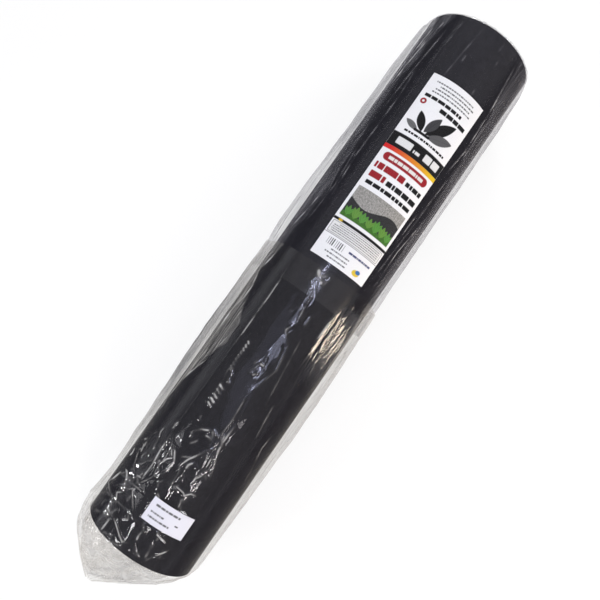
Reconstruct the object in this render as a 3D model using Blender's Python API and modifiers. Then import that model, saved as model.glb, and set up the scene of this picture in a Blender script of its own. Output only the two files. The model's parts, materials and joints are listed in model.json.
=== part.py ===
"""A bagged roll of weed control sheet, lying on its side.

Black nonwoven sheet is wound on a paper core tube. A printed label lies on the outer turn. Two clear
polythene bags are pulled on from the two ends, and their open mouths overlap near the middle of the roll.
A white sticker is on the lower bag. X runs along the roll, towards the head of the label, and Z is up.
The origin is on the floor, under the middle of the roll's length.
"""

import math

import bmesh
import bpy

MM = 0.001
TURN = 2.0 * math.pi
BOTTOM = math.pi

# The wound sheet
ROLL_LENGTH = 1000.0 * MM
ROLL_RADIUS = 99.0 * MM
SHEET_THICKNESS = 0.9 * MM
TURN_GAP = 0.45 * MM
OUTER_TURNS = 5
FREE_EDGE_ANGLE = math.radians(31.5)
INNER_EDGE_ANGLE = math.radians(200.0)
SETTLED_DEPTH = 1.0 * MM

# The core tube
CORE_BORE_RADIUS = 25.0 * MM
CORE_WALL = 5.0 * MM
CORE_CHAMFER = 0.8 * MM

# Clearances between pieces that touch, round the roll and at its ends
SEAT_GAP = 0.3 * MM
END_GAP = 0.6 * MM

# Both bags: their film, the overlap of their mouths, and the creases along their two sides
FILM_THICKNESS = 0.1 * MM
MOUTH_OVERLAP = 49.0 * MM
MOUTH_OFFSET = 2.5 * MM
CREASE_ANGLE = math.radians(105.0)
CREASE_REACH = 25.0 * MM

# The lower bag's slack end lies on the floor past the roll and narrows to a corner
SLACK_LENGTH = 153.0 * MM
SLACK_CORNER_WIDTH = 14.0 * MM
SLACK_CORNER_HEIGHT = 4.0 * MM
SLACK_CORNER_OFFSET = 35.0 * MM
SLACK_NEAR_SIDE_POWER = 1.5
SLACK_FAR_SIDE_POWER = 2.3
SLACK_SLOPE_POWER = 1.15

# The upper bag's end closes like a pillow, on a seal at the mid height of the roll
PILLOW_DEPTH = 29.0 * MM
PILLOW_SLOPE_POWER = 0.5
SEAL_WIDTH = 156.0 * MM
SEAL_HEIGHT = 0.9 * MM
SEAL_DEPTH = 9.0 * MM

# The printed label, placed from the upper end of the roll
LABEL_THICKNESS = 0.25 * MM
LABEL_LENGTH = 350.0 * MM
LABEL_WIDTH = 105.0 * MM
LABEL_MARGIN = 111.5 * MM
LABEL_ANGLE = math.radians(-6.8)

# The white sticker, placed from the lower end of the roll
STICKER_THICKNESS = 0.15 * MM
STICKER_LENGTH = 38.0 * MM
STICKER_WIDTH = 73.0 * MM
STICKER_MARGIN = 59.5 * MM
STICKER_ANGLE = math.radians(-10.6)

# How finely round things are made
SHEET_STEPS = 72
BAG_STEPS = 60
CORE_STEPS = 48
PATCH_STEPS = 12
SLACK_STEPS = 9
PILLOW_STEPS = 6
MERGE_DISTANCE = 0.05 * MM

# How far the side creases stand out, from a bag's mouth to the end of the roll. Each row is a share of that
# length, then the shares of the crease's reach towards +Y and towards -Y.
LOWER_CREASE_SHARES = (
    (0.0, 0.90, 0.78),
    (0.1, 0.90, 0.80),
    (0.2, 0.92, 0.89),
    (0.35, 0.96, 0.95),
    (0.5, 0.88, 0.93),
    (0.65, 0.77, 0.82),
    (0.8, 0.66, 0.72),
    (0.9, 0.62, 0.63),
    (1.0, 0.86, 0.54),
)
UPPER_CREASE_SHARES = (
    (0.0, 0.84, 0.68),
    (0.1, 0.84, 0.68),
    (0.17, 1.0, 0.66),
    (0.3, 1.0, 0.62),
    (0.45, 0.88, 0.62),
    (0.65, 0.82, 0.62),
    (0.85, 0.80, 0.60),
    (1.0, 0.62, 0.48),
)

# Sizes that follow from those above
PITCH = SHEET_THICKNESS + TURN_GAP
HALF_LENGTH = ROLL_LENGTH / 2.0
CORE_RADIUS = CORE_BORE_RADIUS + CORE_WALL
UPPER_OUTSIDE = ROLL_RADIUS + SEAT_GAP + FILM_THICKNESS
LOWER_OUTSIDE = UPPER_OUTSIDE + SEAT_GAP + FILM_THICKNESS
LOWER_MOUTH = MOUTH_OFFSET + MOUTH_OVERLAP / 2.0
UPPER_MOUTH = MOUTH_OFFSET - MOUTH_OVERLAP / 2.0


def sheet_radius(angle):
    """Outside of the wound sheet at an angle past its free edge: it draws in by one pitch a turn."""
    return ROLL_RADIUS - PITCH * (angle - FREE_EDGE_ANGLE) / TURN


# The roll has settled under its own weight, so everything is flat under it, this far below its axis
SHEET_DROP = sheet_radius(BOTTOM) - SETTLED_DEPTH
UPPER_DROP = SHEET_DROP + SEAT_GAP + FILM_THICKNESS
LOWER_DROP = UPPER_DROP + SEAT_GAP + FILM_THICKNESS
AXIS_HEIGHT = LOWER_DROP


def across(radius, angle):
    """A point of a cross-section, as side and height: angles run from the top of the roll towards +Y."""
    return radius * math.sin(angle), radius * math.cos(angle)


def settled(radius, angle, drop):
    """The radius, cut short where it would reach below a flat at this drop under the axis."""
    down = -math.cos(angle)
    return min(radius, drop / down) if down > 0.0 else radius


def settled_turn(radius, angle):
    """A turn of the sheet, flattened under the roll by the same depth as every other turn."""
    at_bottom = radius + PITCH * (angle % TURN - BOTTOM) / TURN
    return settled(radius, angle, at_bottom - SETTLED_DEPTH)


def material(name, colour, roughness, alpha=1.0):
    made = bpy.data.materials.new(name)
    made.use_nodes = True
    surface = made.node_tree.nodes["Principled BSDF"]
    surface.inputs["Base Color"].default_value = (*colour, 1.0)
    surface.inputs["Roughness"].default_value = roughness
    surface.inputs["Metallic"].default_value = 0.0
    surface.inputs["Alpha"].default_value = alpha
    return made


def collection(name):
    made = bpy.data.collections.new(name)
    bpy.context.scene.collection.children.link(made)
    return made


def empty(name, height, parent=None):
    made = bpy.data.objects.new(name, None)
    made.location.z = height
    made.parent = parent
    PARTS.objects.link(made)
    return made


def add(name, data, finish, parent):
    """A named piece on its parent's axis, with its finish."""
    made = bpy.data.objects.new(name, data)
    data.materials.append(finish)
    made.parent = parent
    PARTS.objects.link(made)
    return made


def bar_along_roll(name, outlines, start, length, finish, parent):
    """An outline across the roll, with any holes in it, drawn out along the roll."""
    curve = bpy.data.curves.new(name, "CURVE")
    curve.dimensions = "2D"
    curve.fill_mode = "BOTH"
    curve.extrude = length / 2.0
    for outline in outlines:
        spline = curve.splines.new("POLY")
        spline.points.add(len(outline) - 1)
        for point, (side, height) in zip(spline.points, outline):
            point.co = (side, height, 0.0, 1.0)
        spline.use_cyclic_u = True
    made = add(name, curve, finish, parent)
    made.rotation_euler = (math.radians(90.0), 0.0, math.radians(90.0))
    made.location.x = start + length / 2.0
    return made


def build_core_tube(finish, parent):
    """The paper tube that the sheet is wound on: a profile turned round the roll's axis."""
    inside, outside = CORE_BORE_RADIUS, CORE_RADIUS
    low, high, cut = -HALF_LENGTH, HALF_LENGTH, CORE_CHAMFER
    profile = (
        (inside, high - cut),
        (inside + cut, high),
        (outside - cut, high),
        (outside, high - cut),
        (outside, low + cut),
        (outside - cut, low),
        (inside + cut, low),
        (inside, low + cut),
    )
    mesh = bpy.data.meshes.new("core_tube")
    shape = bmesh.new()
    corners = [shape.verts.new((radius, 0.0, along)) for radius, along in profile]
    for first, second in zip(corners, corners[1:] + corners[:1]):
        shape.edges.new((first, second))
    shape.to_mesh(mesh)
    shape.free()
    made = add("core_tube", mesh, finish, parent)
    made.rotation_euler.y = math.radians(90.0)
    screw = made.modifiers.new("turned", "SCREW")
    screw.axis = "Z"
    screw.steps = CORE_STEPS
    screw.render_steps = CORE_STEPS
    screw.use_merge_vertices = True
    screw.merge_threshold = MERGE_DISTANCE
    screw.use_smooth_shade = True


def build_weed_sheet(finish, parent):
    """The sheet: its outer turns wind as one strip from the free edge, over the plain tight winding."""
    step = TURN / SHEET_STEPS
    outer, inner, hole = [], [], []
    for count in range(OUTER_TURNS * SHEET_STEPS + 1):
        angle = FREE_EDGE_ANGLE + count * step
        outer.append(across(settled_turn(sheet_radius(angle), angle), angle))
    for count in range((OUTER_TURNS - 1) * SHEET_STEPS, -1, -1):
        angle = FREE_EDGE_ANGLE + count * step
        inner.append(across(settled_turn(sheet_radius(angle) - SHEET_THICKNESS, angle), angle))
    for count in range(SHEET_STEPS + 1):
        lift = SHEET_THICKNESS * (1.0 - count / SHEET_STEPS)
        hole.append(across(CORE_RADIUS + SEAT_GAP + lift, INNER_EDGE_ANGLE + count * step))
    bar_along_roll("weed_sheet", (outer + inner, hole), -HALF_LENGTH, ROLL_LENGTH, finish, parent)
    print("least gap between turns, mm:", round(least_turn_gap() / MM, 3))


def least_turn_gap():
    """The least gap from the inside of a turn to the outside of the next, measured on points."""
    gaps = []
    for count in range((OUTER_TURNS - 1) * SHEET_STEPS):
        angle = FREE_EDGE_ANGLE + count * TURN / SHEET_STEPS
        inside = settled_turn(sheet_radius(angle) - SHEET_THICKNESS, angle)
        gaps.append(inside - settled_turn(sheet_radius(angle + TURN), angle + TURN))
    return min(gaps)


def patch_outline(surface_radius, width, middle, thickness):
    """The end view of a thin patch that lies round the roll, on a surface whose radius varies with angle."""
    half = width / surface_radius(middle) / 2.0
    angles = [middle - half + 2.0 * half * count / PATCH_STEPS for count in range(PATCH_STEPS + 1)]
    under = [across(surface_radius(angle) + SEAT_GAP, angle) for angle in angles]
    over = [across(surface_radius(angle) + SEAT_GAP + thickness, angle) for angle in reversed(angles)]
    return under + over


def build_label(finish, parent):
    """The printed label: it lies on the outer turn of the sheet, inside the upper bag."""

    def outer_turn(angle):
        return sheet_radius(angle + TURN)

    outline = patch_outline(outer_turn, LABEL_WIDTH, LABEL_ANGLE, LABEL_THICKNESS)
    start = HALF_LENGTH - LABEL_MARGIN - LABEL_LENGTH
    bar_along_roll("label_insert", (outline,), start, LABEL_LENGTH, finish, parent)


def build_sticker(finish, parent):
    """The white sticker on the outside of the lower bag."""

    def bag_outside(angle):
        return LOWER_OUTSIDE

    outline = patch_outline(bag_outside, STICKER_WIDTH, STICKER_ANGLE, STICKER_THICKNESS)
    bar_along_roll("shipping_sticker", (outline,), STICKER_MARGIN - HALF_LENGTH, STICKER_LENGTH, finish, parent)


def section_angles(circle, drop):
    """Even steps round a bag, with the steps nearest the edges of its flat underside moved onto them."""
    step = TURN / BAG_STEPS
    angles = [count * step for count in range(BAG_STEPS)]
    half_flat = math.acos(min(1.0, drop / circle))
    for edge in (BOTTOM - half_flat, BOTTOM + half_flat):
        nearest = round(edge / step)
        if nearest != BAG_STEPS // 2:
            angles[nearest] = edge
    return angles


def bag_radius(angle, circle, reaches, drop):
    """Outside of a bag: a circle round the roll, drawn out to a crease on each side, and flat underneath."""
    radius = circle
    for crease, reach in zip((CREASE_ANGLE, TURN - CREASE_ANGLE), reaches):
        tangent = math.acos(circle / (circle + reach))
        away = abs(angle - crease)
        if away < tangent:
            radius = max(radius, circle / math.cos(tangent - away))
    return settled(radius, angle, drop)


def eased(share):
    """Runs from 0 to 1 with level ends."""
    return share * share * (3.0 - 2.0 * share)


def covered_rings(mouth, end, circle, drop, crease_shares):
    """The cross-sections of a bag over the roll, from its open mouth to just past the end of the roll."""
    angles = section_angles(circle, drop)
    rings = []
    for share, *reach_shares in crease_shares:
        reaches = [CREASE_REACH * reach_share for reach_share in reach_shares]
        along = mouth + (end - mouth) * share
        rings.append([(along, *across(bag_radius(angle, circle, reaches, drop), angle)) for angle in angles])
    return rings


def fitted(ring, along, sides, heights):
    """The cross-section moved along the roll and fitted between two sides and two heights."""
    old_sides = min(point[1] for point in ring), max(point[1] for point in ring)
    old_heights = min(point[2] for point in ring), max(point[2] for point in ring)
    side_scale = (sides[1] - sides[0]) / (old_sides[1] - old_sides[0])
    height_scale = (heights[1] - heights[0]) / (old_heights[1] - old_heights[0])
    return [
        (along, sides[0] + (side - old_sides[0]) * side_scale, heights[0] + (height - old_heights[0]) * height_scale)
        for _, side, height in ring
    ]


def extent(ring, axis):
    return min(point[axis] for point in ring), max(point[axis] for point in ring)


def slack_rings(last):
    """The lower bag past the roll: it falls to the floor and narrows, more on one side, to a corner."""
    near_side, far_side = extent(last, 1)
    floor, top = extent(last, 2)
    corner = [SLACK_CORNER_OFFSET + sign * SLACK_CORNER_WIDTH / 2.0 for sign in (-1.0, 1.0)]
    rings = []
    for count in range(1, SLACK_STEPS + 1):
        share = count / SLACK_STEPS
        near = corner[0] + (near_side - corner[0]) * (1.0 - share**SLACK_NEAR_SIDE_POWER)
        far = corner[1] + (far_side - corner[1]) * (1.0 - share**SLACK_FAR_SIDE_POWER)
        fall = (1.0 - share) ** SLACK_SLOPE_POWER
        height = SLACK_CORNER_HEIGHT + (top - floor - SLACK_CORNER_HEIGHT) * fall
        rings.append(fitted(last, last[0][0] - SLACK_LENGTH * share, (near, far), (floor, floor + height)))
    return rings


def pillow_rings(last):
    """The upper bag past the roll: its top and bottom close on a level seal."""
    near_side, far_side = extent(last, 1)
    floor, top = extent(last, 2)
    half_width, half_height = SEAL_WIDTH / 2.0, SEAL_HEIGHT / 2.0
    rings = []
    for count in range(1, PILLOW_STEPS + 1):
        share = count / PILLOW_STEPS
        narrow = eased(share)
        bulge = (1.0 - share) ** PILLOW_SLOPE_POWER
        sides = near_side + (-half_width - near_side) * narrow, far_side + (half_width - far_side) * narrow
        heights = -half_height + (floor + half_height) * bulge, half_height + (top - half_height) * bulge
        rings.append(fitted(last, last[0][0] + PILLOW_DEPTH * share, sides, heights))
    rings.append([(along + SEAL_DEPTH, side, height) for along, side, height in rings[-1]])
    return rings


def build_bag(name, rings, finish, parent):
    """A film bag: a loft from its open mouth to its closed seal, given the film's thickness inwards."""
    mesh = bpy.data.meshes.new(name)
    shape = bmesh.new()
    loops = [[shape.verts.new(point) for point in ring] for ring in rings]
    for near, far in zip(loops, loops[1:]):
        for index, corner in enumerate(near):
            following = (index + 1) % len(near)
            shape.faces.new((corner, near[following], far[following], far[index]))
    shape.faces.new(loops[-1])
    bmesh.ops.recalc_face_normals(shape, faces=shape.faces)
    shape.to_mesh(mesh)
    shape.free()
    mesh.shade_smooth()
    made = add(name, mesh, finish, parent)
    film = made.modifiers.new("film", "SOLIDIFY")
    film.thickness = FILM_THICKNESS
    film.offset = -1.0


def build_roll():
    kraft = material("kraft_paper", (0.42, 0.29, 0.17), 0.85)
    nonwoven = material("black_nonwoven", (0.018, 0.018, 0.02), 0.8)
    clear_film = material("clear_film", (0.75, 0.76, 0.77), 0.12, 0.25)
    hazy_film = material("hazy_film", (0.72, 0.73, 0.74), 0.2, 0.3)
    card = material("printed_card", (0.8, 0.8, 0.8), 0.45)
    white_paper = material("white_paper", (0.8, 0.8, 0.82), 0.5)

    roll = empty("roll", AXIS_HEIGHT)
    lower_bag = empty("lower_bag", 0.0, roll)
    upper_bag = empty("upper_bag", 0.0, roll)

    build_core_tube(kraft, roll)
    build_weed_sheet(nonwoven, roll)
    build_label(card, roll)

    end = HALF_LENGTH + END_GAP
    lower = covered_rings(LOWER_MOUTH, -end, LOWER_OUTSIDE, LOWER_DROP, LOWER_CREASE_SHARES)
    upper = covered_rings(UPPER_MOUTH, end, UPPER_OUTSIDE, UPPER_DROP, UPPER_CREASE_SHARES)
    build_bag("lower_bag_film", lower + slack_rings(lower[-1]), clear_film, lower_bag)
    build_bag("upper_bag_film", upper + pillow_rings(upper[-1]), hazy_film, upper_bag)
    build_sticker(white_paper, lower_bag)


for old in list(bpy.data.objects):
    bpy.data.objects.remove(old)
PARTS = collection("weed_sheet_roll")
build_roll()
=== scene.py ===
"""Looks of the bagged roll of weed control sheet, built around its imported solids.

The roll lies along X, the head of its label towards +X, its axis above the origin. Angles round the roll
are counted from its top towards +Y. Lengths are in metres.
"""

import json
import logging
import math
from dataclasses import dataclass, replace
from enum import Enum
from typing import ClassVar

import bpy
import numpy as np
from mathutils import Euler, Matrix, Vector
from mathutils.geometry import delaunay_2d_cdt

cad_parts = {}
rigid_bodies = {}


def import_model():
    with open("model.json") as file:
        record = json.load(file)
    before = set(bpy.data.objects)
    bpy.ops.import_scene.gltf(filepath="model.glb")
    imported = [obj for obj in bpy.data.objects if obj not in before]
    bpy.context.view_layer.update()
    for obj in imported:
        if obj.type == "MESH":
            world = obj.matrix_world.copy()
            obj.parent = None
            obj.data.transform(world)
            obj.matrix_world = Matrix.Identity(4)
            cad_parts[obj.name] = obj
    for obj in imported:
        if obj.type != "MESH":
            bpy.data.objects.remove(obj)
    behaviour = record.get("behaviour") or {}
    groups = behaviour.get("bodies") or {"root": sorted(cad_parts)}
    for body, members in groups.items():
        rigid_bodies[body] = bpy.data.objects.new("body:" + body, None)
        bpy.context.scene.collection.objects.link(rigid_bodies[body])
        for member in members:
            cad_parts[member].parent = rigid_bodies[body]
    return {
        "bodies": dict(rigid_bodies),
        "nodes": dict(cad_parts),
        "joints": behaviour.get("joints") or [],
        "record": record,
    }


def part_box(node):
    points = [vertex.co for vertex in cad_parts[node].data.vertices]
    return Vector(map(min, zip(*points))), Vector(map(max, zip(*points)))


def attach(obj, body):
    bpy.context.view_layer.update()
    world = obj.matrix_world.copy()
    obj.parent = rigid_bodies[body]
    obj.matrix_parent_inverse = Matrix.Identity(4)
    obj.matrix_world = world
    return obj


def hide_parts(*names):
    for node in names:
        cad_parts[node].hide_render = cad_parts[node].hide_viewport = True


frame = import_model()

MM = 0.001
TURN = 2.0 * math.pi
LOG = logging.getLogger("weed_sheet_roll")
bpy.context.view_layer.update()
# Degrees round the roll to a millimetre of its surface, and the smooth film's height over the roll.
DEGREES_A_MM = 0.57
FILM_GAP = 0.8 * MM

# Short names for the types in the signatures below.
Colour = tuple[float, float, float]
Place = tuple[float, float, float]
Span = tuple[float, float]
Zone = tuple[Span, Span]
Table = tuple[tuple[float, ...], ...]
Array = np.ndarray
Material = bpy.types.Material
Piece = bpy.types.Object
Socket = bpy.types.NodeSocket


class Body(Enum):
    """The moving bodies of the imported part."""

    ROLL = "roll"
    LOWER_BAG = "lower_bag"
    UPPER_BAG = "upper_bag"


class Side(Enum):
    """The two long sides of the lying roll, with the sign of Y on each."""

    FREE_EDGE = 1.0
    FAR = -1.0


def smooth_step(low: float, high: float, value: Array) -> Array:
    """Ease from 0 to 1 between two limits.

    Args:
        low: Where the result is 0.
        high: Where the result is 1. It may be less than low.
        value: The values to ease.

    Returns:
        The eased values, from 0 to 1.
    """
    share = np.clip((value - low) / (high - low), 0.0, 1.0)
    return share * share * (3.0 - 2.0 * share)


def window(rise: Span, fall: Span, value: Array) -> Array:
    """Ease from 0 to 1 over one span, and back to 0 over another.

    Args:
        rise: Where the result is 0 and where it reaches 1.
        fall: Where the result is 0 again and where it leaves 1.
        value: The values to ease.

    Returns:
        The eased values, from 0 to 1.
    """
    return smooth_step(*rise, value) * smooth_step(*fall, value)


class SmoothNoise:
    """Seeded gradient noise over a plane, which repeats round the roll."""

    ALONG_CELLS = 512
    SWING = 1.5
    RIDGE_SHARPNESS = 2.2

    def __init__(self, seed: int, around_cells: int = 64) -> None:
        """Draw the lattice of gradients.

        Args:
            seed: Seed of the noise.
            around_cells: Number of cells round the roll after which it repeats.
        """
        self.around_cells = around_cells
        angles = np.random.default_rng(seed).uniform(0.0, TURN, (self.ALONG_CELLS, around_cells))
        self.gradients = np.stack([np.cos(angles), np.sin(angles)], axis=-1)

    @staticmethod
    def ease(share: Array) -> Array:
        """Ease from one corner of a cell to the next."""
        return share * share * share * (share * (share * 6.0 - 15.0) + 10.0)

    def sample(self, along: Array, around: Array) -> Array:
        """Read the noise.

        Args:
            along: Places along the roll, in cells.
            around: Places round the roll, in cells.

        Returns:
            Noise from about -1 to 1.
        """
        row, column = np.floor(along), np.floor(around)
        u, v = along - row, around - column
        ease_u, ease_v = self.ease(u), self.ease(v)
        total = np.zeros(np.broadcast(along, around).shape)
        for step_u, weight_u in ((0, 1.0 - ease_u), (1, ease_u)):
            for step_v, weight_v in ((0, 1.0 - ease_v), (1, ease_v)):
                rows = (row.astype(int) + step_u) % self.ALONG_CELLS
                columns = (column.astype(int) + step_v) % self.around_cells
                slope = self.gradients[rows, columns]
                corner = slope[..., 0] * (u - step_u) + slope[..., 1] * (v - step_v)
                total += corner * weight_u * weight_v
        return total * self.SWING

    def ridges(self, along: Array, around: Array) -> Array:
        """Read the noise as ridges, from 0 between them to 1 on their crests, at places in cells."""
        return 1.0 - np.minimum(1.0, np.abs(self.sample(along, around)) * self.RIDGE_SHARPNESS)


@dataclass(frozen=True)
class Roll:
    """Sizes of the wound roll that every other piece follows.

    The turn is how much one turn of the winding adds to the radius, the free edge is the angle at which the
    strip ends, and the outermost turn is settled flat underneath by the last size.
    """

    radius: float = 99.0 * MM
    half_length: float = 500.0 * MM
    axis_height: float = 98.243 * MM
    turn: float = 0.928 * MM
    free_edge: float = math.radians(31.5)
    settled: float = 1.0 * MM

    def place(self, along: Array, radius: Array, angle: Array) -> Array:
        """Turn places along the roll, distances from its axis and angles from its top into points."""
        y, z = radius * np.sin(angle), self.axis_height + radius * np.cos(angle)
        return np.stack(np.broadcast_arrays(along, y, z), axis=-1)


def stack_faces(*corners: Array) -> Array:
    """Faces as rows of corners, from a grid of point numbers for each corner."""
    return np.stack([corner.ravel() for corner in corners], axis=1)


@dataclass
class GridSurface:
    """A surface as a grid of points, each row of which closes into a ring."""

    points: Array

    def normals(self) -> Array:
        """Work out the normals at the grid's points from their neighbours.

        Returns:
            Unit normals, in the shape of the grid.
        """
        along = np.gradient(self.points, axis=0)
        around = np.roll(self.points, -1, axis=1) - np.roll(self.points, 1, axis=1)
        normal = np.cross(along, around)
        length = np.linalg.norm(normal, axis=-1, keepdims=True)
        return normal / np.maximum(length, 1e-12)

    def faces(self) -> Array:
        """Number the corners of the grid's faces.

        Returns:
            The corners, one row for each face.
        """
        rows, columns = self.points.shape[:2]
        index = np.arange(rows * columns).reshape(rows, columns)
        following = np.roll(index, -1, axis=1)
        return stack_faces(index[:-1], following[:-1], following[1:], index[1:])

    def to_object(self, name: str, material: Material) -> Piece:
        """Make a smooth mesh object of the grid, with this name and material."""
        return mesh_object(name, self.points.reshape(-1, 3), self.faces(), material)


def mesh_object(name: str, points: Array, faces: Array, material: Material) -> Piece:
    """Make a smooth mesh object of points and faces of four corners.

    Args:
        name: Name of the piece.
        points: Its points, one row each.
        faces: The corners of its faces, one row each.
        material: Its material.

    Returns:
        The new object, linked to the scene.
    """
    mesh = bpy.data.meshes.new(name)
    mesh.from_pydata(points.tolist(), [], faces.tolist())
    mesh.shade_smooth()
    mesh.materials.append(material)
    made = bpy.data.objects.new(name, mesh)
    bpy.context.scene.collection.objects.link(made)
    return made


def set_attribute(piece: Piece, name: str, values: Array) -> None:
    """Store one number for each point of a piece.

    Args:
        piece: The piece.
        name: Name of the attribute.
        values: One number for each point.
    """
    attribute = piece.data.attributes.new(name, "FLOAT", "POINT")
    attribute.data.foreach_set("value", values.astype(np.float32).ravel())


class NodeGraph:
    """A short way to write a material's nodes."""

    def __init__(self, name: str) -> None:
        """Start an empty material with its output.

        Args:
            name: Name of the material.
        """
        self.material = bpy.data.materials.new(name)
        self.material.use_nodes = True
        self.tree = self.material.node_tree
        self.tree.nodes.clear()
        self.output = self.tree.nodes.new("ShaderNodeOutputMaterial")

    def add(self, kind: str, settings: dict[str, object] | None = None, **sockets: object) -> bpy.types.Node:
        """Add a node.

        Args:
            kind: Blender's name of the node, without its ShaderNode prefix.
            settings: Properties to set on the node.
            **sockets: Input values, or sockets to link, by input name with underscores for spaces.

        Returns:
            The new node.
        """
        node = self.tree.nodes.new("ShaderNode" + kind)
        for key, value in (settings or {}).items():
            setattr(node, key, value)
        for key, value in sockets.items():
            self.feed(node, key.replace("_", " "), value)
        return node

    def feed(self, node: bpy.types.Node, socket: str | int, value: object) -> None:
        """Set or link one input.

        Args:
            node: The node.
            socket: Name or number of its input.
            value: A value, or an output socket to link from.
        """
        if isinstance(value, Socket):
            self.tree.links.new(value, node.inputs[socket])
        else:
            node.inputs[socket].default_value = value

    def math(self, operation: str, *values: object, clamp: bool = False) -> Socket:
        """Add a Math node.

        Args:
            operation: Its operation.
            *values: Its values or sockets, in order.
            clamp: Whether to clamp the result to 0 to 1.

        Returns:
            Its output.
        """
        node = self.add("Math", {"operation": operation, "use_clamp": clamp})
        for index, value in enumerate(values):
            self.feed(node, index, value)
        return node.outputs[0]

    def mix_colours(self, share: object, first: object, second: object) -> Socket:
        """Add a Mix node for colours.

        Args:
            share: Share of the second colour.
            first: First colour or socket.
            second: Second colour or socket.

        Returns:
            Its output.
        """
        node = self.add("Mix", {"data_type": "RGBA"})
        self.feed(node, 0, share)
        for index, colour in ((6, first), (7, second)):
            self.feed(node, index, (*colour, 1.0) if isinstance(colour, tuple) else colour)
        return node.outputs[2]

    def mix_shaders(self, share: object, first: object, second: object) -> Socket:
        """Add a Mix Shader node.

        Args:
            share: Share of the second shader.
            first: First shader.
            second: Second shader.

        Returns:
            Its output.
        """
        node = self.add("MixShader")
        self.feed(node, 0, share)
        self.feed(node, 1, first)
        self.feed(node, 2, second)
        return node.outputs[0]

    def stretched(self, scale: Place) -> Socket:
        """Object coordinates, scaled along X, Y and Z."""
        coordinates = self.add("TexCoord").outputs["Object"]
        return self.add("Mapping", Vector=coordinates, Scale=scale).outputs["Vector"]

    def finish(self, surface: Socket) -> Material:
        """Link the shader that the material shows, and give the material."""
        self.tree.links.new(surface, self.output.inputs["Surface"])
        return self.material


@dataclass(frozen=True)
class FilmFinish:
    """Clear polythene film: mostly see-through, with a gloss, and a haze that grows towards its edges.

    Four attributes of the mesh shape it: haze scales its haze, one whitens its folds with a painted highlight
    (and the slack end's milky patches), one darkens it with painted shade on folds and a painted reflection
    of the dark roll in the wings, and gloss scales how much it mirrors. Seen nearly edge on it is hazier by
    edge_haze and mirrors more by grazing_mirror.
    """

    name: str
    haze: float
    haze_colour: Colour
    roughness: float
    clearness: Colour
    edge_haze: float = 0.8
    edge_power: float = 6.0
    painted_highlight_and_milk_haze: float = 0.6
    glow_share: float = 0.4
    mirror: float = 0.04
    grazing_from: float = 0.72
    grazing_mirror: float = 0.35

    # White of the painted highlight on folds, and of the slack end's milky patches.
    PAINTED_HIGHLIGHT_AND_MILK_WHITE = (0.94, 0.93, 0.925)
    # Dark colour of the painted shade and the painted reflection of the dark roll.
    PAINTED_SHADE_AND_REFLECTION = (0.1, 0.1, 0.11)
    # See-through colour where the painted shade and reflection darken the film.
    PAINTED_SHADE_THROUGH = (0.5, 0.5, 0.52)
    GLOSS = (0.8, 0.8, 0.82)

    def material(self) -> Material:
        """Build the film's material.

        Returns:
            The material.
        """
        graph = NodeGraph(self.name)
        grain = graph.add("TexNoise", Vector=graph.stretched((0.07, 1.0, 1.0)), Scale=260.0, Detail=2.0)
        bump = graph.add("Bump", Strength=0.12, Distance=0.25 * MM, Height=grain.outputs["Fac"])
        facing = graph.add("LayerWeight", Blend=0.5).outputs["Facing"]
        cloud = graph.add("TexNoise", Vector=graph.stretched((0.3, 1.0, 1.0)), Scale=34.0, Detail=4.0)
        uneven = graph.math("MULTIPLY_ADD", cloud.outputs["Fac"], 1.6 * self.haze, 0.2 * self.haze)
        local, painted_highlight_and_milk, painted_shade_and_reflection, shine = (
            graph.add("Attribute", {"attribute_name": name}).outputs["Fac"]
            for name in ("haze", "painted_highlight_and_milk", "painted_shade_and_reflection", "gloss")
        )
        edge = graph.math("MULTIPLY", graph.math("POWER", facing, self.edge_power), self.edge_haze)
        haze = graph.math("MULTIPLY_ADD", uneven, local, edge)
        haze = graph.math("MULTIPLY_ADD", painted_highlight_and_milk, self.painted_highlight_and_milk_haze, haze, clamp=True)
        # Painted highlights whiten the haze's colour, and painted shade and reflection darken it.
        colour = graph.mix_colours(painted_highlight_and_milk, graph.mix_colours(painted_shade_and_reflection, self.haze_colour, self.PAINTED_SHADE_AND_REFLECTION), self.PAINTED_HIGHLIGHT_AND_MILK_WHITE)
        scatter = graph.mix_shaders(
            self.glow_share,
            graph.add("BsdfDiffuse", Color=colour).outputs[0],
            graph.add("BsdfTranslucent", Color=colour).outputs[0],
        )
        # What is seen through the film is darkened by the painted shade and reflection too.
        through = graph.mix_colours(painted_shade_and_reflection, self.clearness, self.PAINTED_SHADE_THROUGH)
        clear = graph.add("BsdfTransparent", Color=through).outputs[0]
        gloss = graph.add("BsdfGlossy", Color=(*self.GLOSS, 1.0), Roughness=self.roughness)
        graph.feed(gloss, "Normal", bump.outputs["Normal"])
        grazing = graph.add("MapRange", {"interpolation_type": "SMOOTHSTEP"}, Value=facing)
        for socket, value in (("From Min", self.grazing_from), ("To Max", self.grazing_mirror)):
            graph.feed(grazing, socket, value)
        mirror = graph.math("MULTIPLY_ADD", shine, self.mirror, grazing.outputs["Result"])
        film = graph.mix_shaders(haze, clear, scatter)
        return graph.finish(graph.mix_shaders(mirror, film, gloss.outputs[0]))


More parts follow.
